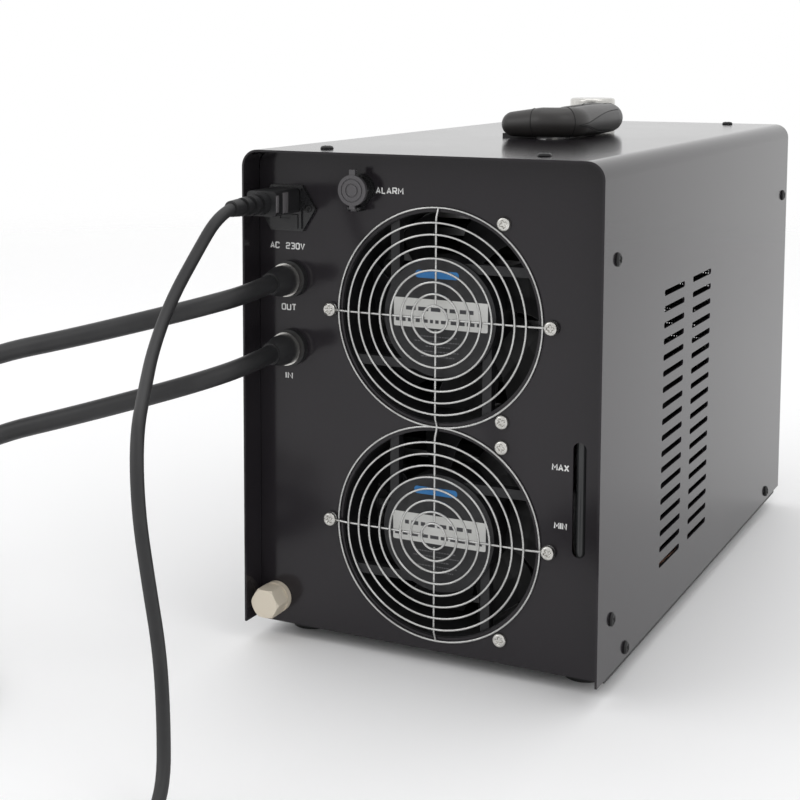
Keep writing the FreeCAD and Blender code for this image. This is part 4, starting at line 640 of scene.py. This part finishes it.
def mark_row(marks, x, z, width, tall, rng):
    """A row of plain dashes, where a real sticker has its print."""
    cursor = x - width / 2.0
    while cursor < x + width / 2.0 - tall * 0.5:
        wide = min(tall * rng.uniform(0.5, 1.6), x + width / 2.0 - cursor)
        low = (cursor, HUB_FACE_Y - 0.00022, z - tall * 0.28)
        high = (cursor + wide, HUB_FACE_Y - 0.00012, z + tall * 0.28)
        marks.block(low, high)
        cursor += wide + tall * 0.4


def fan_label(name, centre, width, height, rng):
    """Sticker on a fan's fixed hub with rows of plain marks, and a blue bar above it."""
    x, z = centre
    label_z = z + 0.0020
    card = Shape()
    rounded_card(card, x + 0.0006, label_z, width, height, HUB_FACE_Y - 0.00016, 0.00015, 0.0012)
    card.piece(name + "_card", "label_paper", "case", smooth=False)
    marks = Shape()
    mark_row(marks, x, label_z + 0.0030, width * 0.72, 0.0048, rng)
    mark_row(marks, x, label_z - 0.0052, width * 0.94, 0.0042, rng)
    marks.piece(name + "_marks", "label_ink", "case", smooth=False)
    small = Shape()
    for row, share in enumerate((0.42, 0.5, 0.26, 0.44, 0.36)):
        mark_row(small, x - 0.001, z - 0.0135 - 0.0034 * row, width * share, 0.0014, rng)
    small.piece(name + "_small", "label_grey", "case", smooth=False)
    bar = Shape()
    rounded_card(bar, x - 0.002, z + 0.0288, 0.032, 0.0052, HUB_FACE_Y - 0.00016, 0.00015, 0.0024)
    bar.piece(name + "_bar", "label_blue", "case", smooth=False)


def grip_line(share):
    """Centre, direction and radius of the handle at a share of its length."""
    corner_x = GRIP_X - GRIP_BEND
    near, far = GRIP_Y
    arm = Vector((corner_x - HINGE_X, 0.0, GRIP_Z - HINGE_Z))
    quarter = GRIP_BEND * math.pi / 2.0
    straight = far - near - 2.0 * GRIP_BEND
    spans = (arm.length, quarter, straight, quarter, arm.length)
    way = share * sum(spans)
    part = 0
    while part < 4 and way > spans[part]:
        way -= spans[part]
        part += 1
    along = way / spans[part]
    if part == 0:
        return Vector((HINGE_X, near, HINGE_Z)) + arm * along, arm.normalized(), ARM_R + (GRIP_R - ARM_R) * along
    if part == 4:
        back = arm * (1.0 - along)
        return Vector((HINGE_X, far, HINGE_Z)) + back, -arm.normalized(), GRIP_R + (ARM_R - GRIP_R) * along
    if part == 2:
        swell = GRIP_SWELL * math.sin(math.pi * along)
        return Vector((GRIP_X, near + GRIP_BEND + way, GRIP_Z)), Vector((0.0, 1.0, 0.0)), GRIP_R + swell
    angle = along * math.pi / 2.0 + (math.pi / 2.0 if part == 3 else 0.0)
    middle = Vector((corner_x, near + GRIP_BEND if part == 1 else far - GRIP_BEND, GRIP_Z))
    out = Vector((math.sin(angle), -math.cos(angle), 0.0))
    return middle + GRIP_BEND * out, Vector((math.cos(angle), math.sin(angle), 0.0)), GRIP_R


def handle_sections():
    """Sections along the handle with a round end at each hinge."""
    start, ahead, radius = grip_line(0.0)
    first = [(start - ahead * radius * math.cos(a), ahead, radius * math.sin(a) + 0.00005)
             for a in (math.radians(d) for d in (0, 8, 17, 27, 38, 50, 63, 76))]
    body = [grip_line(k / 150.0) for k in range(151)]
    end, ahead, radius = grip_line(1.0)
    last = [(end + ahead * radius * math.cos(a), ahead, radius * math.sin(a) + 0.00005)
            for a in (math.radians(d) for d in (76, 63, 50, 38, 27, 17, 8, 0))]
    return first + body + last


def leaf_edge(share):
    """Heights of the lower and the upper edge of the handle's leaf, from its tip to its wide end."""
    low = -0.0020 - 0.0204 * share + 0.0144 * share ** 2
    high = -0.0020 + 0.0190 * share - 0.0100 * share ** 2
    return low, high


def leaf_point(share, height, rise):
    """A point on the grip's outer side."""
    centre, ahead, radius = grip_line(LEAF_SPAN[0] + share * (LEAF_SPAN[1] - LEAF_SPAN[0]))
    side = Vector((ahead.y, -ahead.x, 0.0)).normalized()
    angle = math.asin(height / GRIP_R)
    return centre + (radius + rise) * (math.cos(angle) * side + math.sin(angle) * side.cross(ahead).normalized())


def make_leaf(shape, rows=48, columns=20):
    """Soft pad let into the grip's outer side, with rounded edges."""
    verts, faces = [], []
    for row in range(rows + 1):
        share = row / rows
        low, high = leaf_edge(share)
        for column in range(columns + 1):
            across = column / columns
            edge = min(across, 1.0 - across) * (high - low)
            end = min(share, 1.0 - share) * LEAF_LENGTH
            rise = 0.0007 * eased(min(edge, end) / 0.0009) - 0.0004
            verts.append(leaf_point(share, low + across * (high - low), rise))
    wide = columns + 1
    for row in range(rows):
        for column in range(columns):
            a = row * wide + column
            faces.append([a, a + wide, a + wide + 1, a + 1])
    shape.add(verts, faces)


class ChillerLook(bpy.types.PropertyGroup):
    """Colours of the case and its stage."""

    coat_color: bpy.props.FloatVectorProperty(
        name="Case Paint", description="Colour of the powder coat on the case",
        default=(0.0180, 0.0160, 0.0185), min=0.0, max=1.0, size=3, subtype="COLOR")
    coat_roughness: bpy.props.FloatProperty(
        name="Paint Roughness", description="How matt the powder coat is",
        default=0.14, min=0.05, max=1.0, subtype="FACTOR")
    floor_color: bpy.props.FloatVectorProperty(
        name="Floor", description="Colour of the studio floor",
        default=(0.93, 0.93, 0.935), min=0.0, max=1.0, size=3, subtype="COLOR")
    room_dim: bpy.props.FloatProperty(
        name="Room Behind", description="Brightness of the room behind the camera",
        default=0.85, min=0.0, max=1.5)


class ChillerSizes(bpy.types.PropertyGroup):
    """Sizes of the pieces that the scene adds."""

    guard_wire: bpy.props.FloatProperty(
        name="Guard Wire", description="Diameter of the fan guards' wire",
        default=0.0016, min=0.001, max=0.004, unit="LENGTH", precision=4)
    hose_diameter: bpy.props.FloatProperty(
        name="Hose", description="Outside diameter of the two hoses",
        default=0.013, min=0.008, max=0.02, unit="LENGTH", precision=4)
    mains_diameter: bpy.props.FloatProperty(
        name="Mains Cord", description="Outside diameter of the mains cord",
        default=0.008, min=0.005, max=0.012, unit="LENGTH", precision=4)
    label_width: bpy.props.FloatProperty(
        name="Fan Label Width", description="Width of the sticker on each fan's hub",
        default=0.0690, min=0.02, max=0.08, unit="LENGTH", precision=4)
    label_height: bpy.props.FloatProperty(
        name="Fan Label Height", description="Height of the sticker on each fan's hub",
        default=0.0198, min=0.01, max=0.03, unit="LENGTH", precision=4)
    print_height: bpy.props.FloatProperty(
        name="Print Height", description="Height of the capitals printed on the rear panel",
        default=0.0049, min=0.002, max=0.01, unit="LENGTH", precision=4)
    lens: bpy.props.FloatProperty(
        name="Lens", description="Focal length of the studio camera in millimetres",
        default=70.552, min=10.0, max=300.0)


class CHILLER_OT_finishes(bpy.types.Operator):
    """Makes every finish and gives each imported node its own"""

    bl_idname = "chiller.finishes"
    bl_label = "Finishes"

    def execute(self, context):
        make_finishes(context.scene.chiller_look)
        node_finish()
        return {"FINISHED"}


class CHILLER_OT_cords(bpy.types.Operator):
    """Lays the mains cord and the two hoses"""

    bl_idname = "chiller.cords"
    bl_label = "Cords"

    def execute(self, context):
        sizes = context.scene.chiller_sizes
        self.lay_mains(sizes.mains_diameter)
        self.lay_hose("outlet", OUTLET_ROUTE, (-0.430, -0.345), 245.0, -1.0, 2.269, 1.96, OUTLET_TAIL,
                      sizes.hose_diameter, 1.63)
        self.lay_hose("return", RETURN_ROUTE, (-0.302, -0.478), 248.0, 1.0, 2.025, 1.76, RETURN_TAIL,
                      sizes.hose_diameter, 1.50)
        return {"FINISHED"}

    def lay_mains(self, diameter):
        turns = coil_points((0.029, -0.570), 180.0, 1.0, 4.125, mains_coil_shape)
        points = moved(MAINS_ROUTE + turns + MAINS_TAIL)
        cord = cord_curve("mains_cord", points, diameter / 2, "cable_black")
        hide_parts("mains_cable", "mains_coil")

    def lay_hose(self, name, route, centre, start, direction, turns, lift_at, tail, diameter, length):
        coil = coil_points(centre, start, direction, turns, lambda turn: hose_coil_shape(turn, lift_at), 20)
        points = moved(route + coil + tail)
        hose = cord_curve(name + "_hose_line", points, diameter / 2, "hose_black")
        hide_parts(name + "_hose", name + "_coil")


class CHILLER_OT_guards(bpy.types.Operator):
    """Bends the wire guards in front of the two fans"""

    bl_idname = "chiller.guards"
    bl_label = "Fan Guards"

    def execute(self, context):
        radius = context.scene.chiller_sizes.guard_wire / 2.0
        for name, centre in FAN_CENTRES.items():
            make_guard("wire_guard_" + name, "fan_guard_" + name, centre, radius)
        return {"FINISHED"}


def ridge(name, low, high, bulge):
    """A raised pad on the connector's right side, rounded over along both edges, in a pale grey that paints a
    highlight on it.
    """
    shape = Shape()
    rows = 12
    verts, faces = [], []
    for row in range(rows + 1):
        y = low[1] + (high[1] - low[1]) * row / rows
        out = bulge * math.sin(math.pi * row / rows) ** 0.5
        for z, inset in ((low[2], 1.0), (low[2] + 0.0012, 0.0), (high[2] - 0.0012, 0.0), (high[2], 1.0)):
            verts.append((low[0] + out * (1.0 - inset), y, z))
    for row in range(rows):
        for column in range(3):
            a = row * 4 + column
            faces.append([a, a + 4, a + 5, a + 1])
    shape.add(verts, faces)
    return shape.piece(name, "painted_highlight_grey", "case")


class CHILLER_OT_connector(bpy.types.Operator):
    """Adds the moulded ridges on the mains connector's side, in a pale grey that paints their highlights"""

    bl_idname = "chiller.connector"
    bl_label = "Connector"

    def execute(self, context):
        # Both ridges take a pale grey that paints the highlights on the connector's side stripe and its rounded
        # end.
        rows = (("side_highlight_ridge", -0.2718, 0.0078, 0.0071), ("end_highlight_ridge", -0.2810, 0.0040, 0.0060))
        for name, y, length, half_height in rows:
            first = (CONNECTOR_SIDE_X - 0.0001, MOVED + y, CONNECTOR_Z - half_height)
            last = (CONNECTOR_SIDE_X - 0.0001, MOVED + y + length, CONNECTOR_Z + half_height)
            ridge(name, first, last, 0.0009)
        return {"FINISHED"}


class CHILLER_OT_screen(bpy.types.Operator):
    """Weaves the fine dust screen behind the intake louvres"""

    bl_idname = "chiller.screen"
    bl_label = "Dust Screen"

    def execute(self, context):
        low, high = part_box("intake_grille")
        x0, x1 = low.x + LOUVRE_RIM, high.x - LOUVRE_RIM
        z0, z1 = low.z + LOUVRE_RIM, high.z - LOUVRE_RIM
        shape = Shape()
        pitch, strand = 0.0024, 0.0008
        for k in range(int((x1 - x0) / pitch) + 1):
            x = x0 + k * pitch
            shape.block((x - strand, low.y - 0.0010, z0), (x + strand, low.y - 0.0004, z1))
        for k in range(int((z1 - z0) / pitch) + 1):
            z = z0 + k * pitch
            shape.block((x0, low.y - 0.0007, z - strand), (x1, low.y - 0.0001, z + strand))
        shape.piece("intake_screen", "black_plastic", "case", smooth=False)
        return {"FINISHED"}


class CHILLER_OT_handle(bpy.types.Operator):
    """Shapes the soft round handle, its seams and the pad in its grip"""

    bl_idname = "chiller.handle"
    bl_label = "Handle"

    def execute(self, context):
        body = Shape()
        body.sweep(handle_sections())
        for y, side in zip(GRIP_Y, (1.0, -1.0)):
            matrix = facing((HINGE_X, y, HINGE_Z), (0.0, side, 0.0))
            reach = 0.0103
            body.lathe([(0.0, 0.0), (0.0085, 0.0), (0.0085, reach - 0.0006), (0.0079, reach), (0.0, reach)], matrix)
        handle = body.piece("soft_handle", "handle_plastic", "carry_handle")
        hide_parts("handle")
        leaf = Shape()
        make_leaf(leaf)
        pad = leaf.piece("grip_pad", "soft_pad", "carry_handle")
        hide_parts("handle_insert")
        self.cut_seams()
        return {"FINISHED"}

    def cut_seams(self):
        data = bpy.data.curves.new("handle_seams", "CURVE")
        data.dimensions = "3D"
        data.bevel_depth = 0.00034
        data.bevel_resolution = 2
        for share in SEAMS:
            centre, ahead, radius = grip_line(share)
            side = Vector((ahead.y, -ahead.x, 0.0)).normalized()
            up = side.cross(ahead).normalized()
            turns = [2.0 * math.pi * k / 64 for k in range(64)]
            wire(data, [centre + (radius + 0.00002) * (math.cos(a) * side + math.sin(a) * up) for a in turns], True)
        shares = [k / 40.0 for k in range(41)]
        low = [leaf_point(s, leaf_edge(s)[0], 0.00002) for s in shares]
        high = [leaf_point(s, leaf_edge(s)[1], 0.00002) for s in reversed(shares)]
        wire(data, low + high, True)
        link(bpy.data.objects.new("handle_seams", data), "seam_dark", "carry_handle")


class CHILLER_OT_screws(bpy.types.Operator):
    """Sets cross-recessed screws in the cover and round the fans"""

    bl_idname = "chiller.screws"
    bl_label = "Screws"

    def execute(self, context):
        rng = random.Random(11)
        make_screws("cover_pan_screws", "cover_screws", 0.0046, 0.0024, "screw_black", rng)
        make_screws("guard_pan_screws", "guard_screws", 0.0050, 0.0030, "bright_metal", rng)
        make_screws("inlet_pan_screws", "inlet_screws", 0.0026, 0.0014, "screw_black", rng)
        return {"FINISHED"}


class CHILLER_OT_labels(bpy.types.Operator):
    """Puts a plain sticker on each fan's hub"""

    bl_idname = "chiller.labels"
    bl_label = "Fan Labels"

    def execute(self, context):
        sizes = context.scene.chiller_sizes
        rng = random.Random(23)
        for name, centre in FAN_CENTRES.items():
            fan_label("fan_label_" + name, centre, sizes.label_width, sizes.label_height, rng)
        return {"FINISHED"}


class CHILLER_OT_print(bpy.types.Operator):
    """Prints the plain function words on the rear panel"""

    bl_idname = "chiller.rear_print"
    bl_label = "Rear Print"

    def execute(self, context):
        cap = context.scene.chiller_sizes.print_height
        word("print_mains", "AC  230V", (-0.1210, 0.2817), cap, 0.028)
        word("print_outlet", "OUT", (-0.1120, 0.2382), cap, 0.012)
        word("print_return", "IN", (-0.1090, 0.1892), cap, 0.006)
        word("print_alarm", "ALARM", (-0.0380, 0.3237), cap, 0.021)
        word("print_max", "MAX", (0.0910, 0.1477), cap, 0.0120)
        word("print_min", "MIN", (0.0930, 0.1087), cap, 0.0090)
        return {"FINISHED"}


class CHILLER_OT_stage(bpy.types.Operator):
    """Sets up the pale floor, the soft lights and the camera"""

    bl_idname = "chiller.stage"
    bl_label = "Studio"

    def execute(self, context):
        scene = context.scene
        self.lay_floor(scene.chiller_look)
        self.hang_lights()
        self.place_camera(scene)
        self.light_room(scene)
        scene.view_settings.view_transform = "Standard"
        return {"FINISHED"}

    def light_room(self, scene):
        """White behind the chiller and dimmer behind the camera, for shaded metal."""
        world = bpy.data.worlds.new("studio_white")
        world.use_nodes = True
        nodes, links = world.node_tree.nodes, world.node_tree.links
        place = nodes.new("ShaderNodeTexCoord")
        along = nodes.new("ShaderNodeVectorMath")
        along.operation = "DOT_PRODUCT"
        along.inputs[1].default_value = (-0.4631, 0.8863, 0.0)
        links.new(place.outputs["Generated"], along.inputs[0])
        ramp = nodes.new("ShaderNodeMapRange")
        ramp.inputs["From Min"].default_value = -0.9
        ramp.inputs["From Max"].default_value = 0.1
        ramp.inputs["To Min"].default_value = scene.chiller_look.room_dim
        ramp.inputs["To Max"].default_value = 1.0
        links.new(along.outputs["Value"], ramp.inputs["Value"])
        background = nodes["Background"]
        background.inputs["Color"].default_value = (1.0, 1.0, 1.0, 1.0)
        links.new(ramp.outputs["Result"], background.inputs["Strength"])
        scene.world = world

    def lay_floor(self, look):
        """A pale floor that fades out with distance, so that no horizon shows."""
        finish = Finish("studio_floor", tuple(look.floor_color), 0.6)
        cloud = finish.noise(1.2, 2.0, 0.5)
        finish.set("Roughness", cloud * 0.1 + 0.55)
        away = finish.node("ShaderNodeVectorMath", {"operation": "LENGTH"}, {0: finish.place}, "Value")
        finish.set("Alpha", away.ramp(*FLOOR_FADE, 1.0, 0.0))
        mesh = bpy.data.meshes.new("studio_floor")
        mesh.from_pydata([(-6, -6, 0), (6, -6, 0), (6, 6, 0), (-6, 6, 0)], [], [[0, 1, 2, 3]])
        floor = bpy.data.objects.new("studio_floor", mesh)
        mesh.materials.append(finish.material)
        bpy.context.scene.collection.objects.link(floor)

    def hang_lights(self):
        rows = (("key", (1.9, -0.9, 2.1), 1.2, 5.0), ("fill", (-1.8, -2.2, 1.6), 1.4, 8.0),
                ("top", (0.0, 0.2, 2.8), 2.0, 10.0))
        for name, place, size, power in rows:
            data = bpy.data.lights.new(name, "AREA")
            data.shape = "SQUARE"
            data.size = size
            data.energy = power
            lamp = bpy.data.objects.new("studio_" + name, data)
            lamp.location = moved([place])[0]
            aim = Vector(moved([(0.0, 0.0, 0.15)])[0]) - lamp.location
            lamp.rotation_euler = aim.to_track_quat("-Z", "Y").to_euler()
            bpy.context.scene.collection.objects.link(lamp)

    def place_camera(self, scene):
        turn, pitch = math.radians(27.5854), math.radians(6.0)
        back = Vector((math.sin(turn) * math.cos(pitch), -math.cos(turn) * math.cos(pitch), math.sin(pitch)))
        data = bpy.data.cameras.new("studio_camera")
        data.lens = scene.chiller_sizes.lens
        data.sensor_width = 36.0
        data.shift_x = 0.07145
        data.shift_y = -0.2345
        camera = bpy.data.objects.new("studio_camera", data)
        camera.location = moved([(0.4338, -1.19466, 0.42247)])[0]
        camera.rotation_euler = (-back).to_track_quat("-Z", "Y").to_euler()
        bpy.context.scene.collection.objects.link(camera)
        scene.camera = camera


OPERATORS = (CHILLER_OT_finishes, CHILLER_OT_cords, CHILLER_OT_guards, CHILLER_OT_connector, CHILLER_OT_screen,
             CHILLER_OT_handle, CHILLER_OT_screws, CHILLER_OT_labels, CHILLER_OT_print, CHILLER_OT_stage)


class CHILLER_PT_panel(bpy.types.Panel):
    """Lists the chiller's steps and sizes"""

    bl_idname = "CHILLER_PT_panel"
    bl_label = "Water Chiller"
    bl_space_type = "VIEW_3D"
    bl_region_type = "UI"
    bl_category = "Chiller"

    def draw(self, context):
        for group in (context.scene.chiller_look, context.scene.chiller_sizes):
            column = self.layout.column()
            for key in group.bl_rna.properties.keys():
                if key not in ("rna_type", "name"):
                    column.prop(group, key)
        for operator in OPERATORS:
            self.layout.operator(operator.bl_idname)


CLASSES = (ChillerLook, ChillerSizes) + OPERATORS + (CHILLER_PT_panel,)


def register():
    for item in CLASSES:
        bpy.utils.register_class(item)
    bpy.types.Scene.chiller_look = bpy.props.PointerProperty(type=ChillerLook)
    bpy.types.Scene.chiller_sizes = bpy.props.PointerProperty(type=ChillerSizes)


def unregister():
    del bpy.types.Scene.chiller_sizes
    del bpy.types.Scene.chiller_look
    for item in reversed(CLASSES):
        bpy.utils.unregister_class(item)


def main():
    register()
    bpy.ops.chiller.finishes()
    bpy.ops.chiller.cords()
    bpy.ops.chiller.guards()
    bpy.ops.chiller.connector()
    bpy.ops.chiller.screen()
    bpy.ops.chiller.handle()
    bpy.ops.chiller.screws()
    bpy.ops.chiller.labels()
    bpy.ops.chiller.rear_print()
    bpy.ops.chiller.stage()


if __name__ == "__main__":
    main()
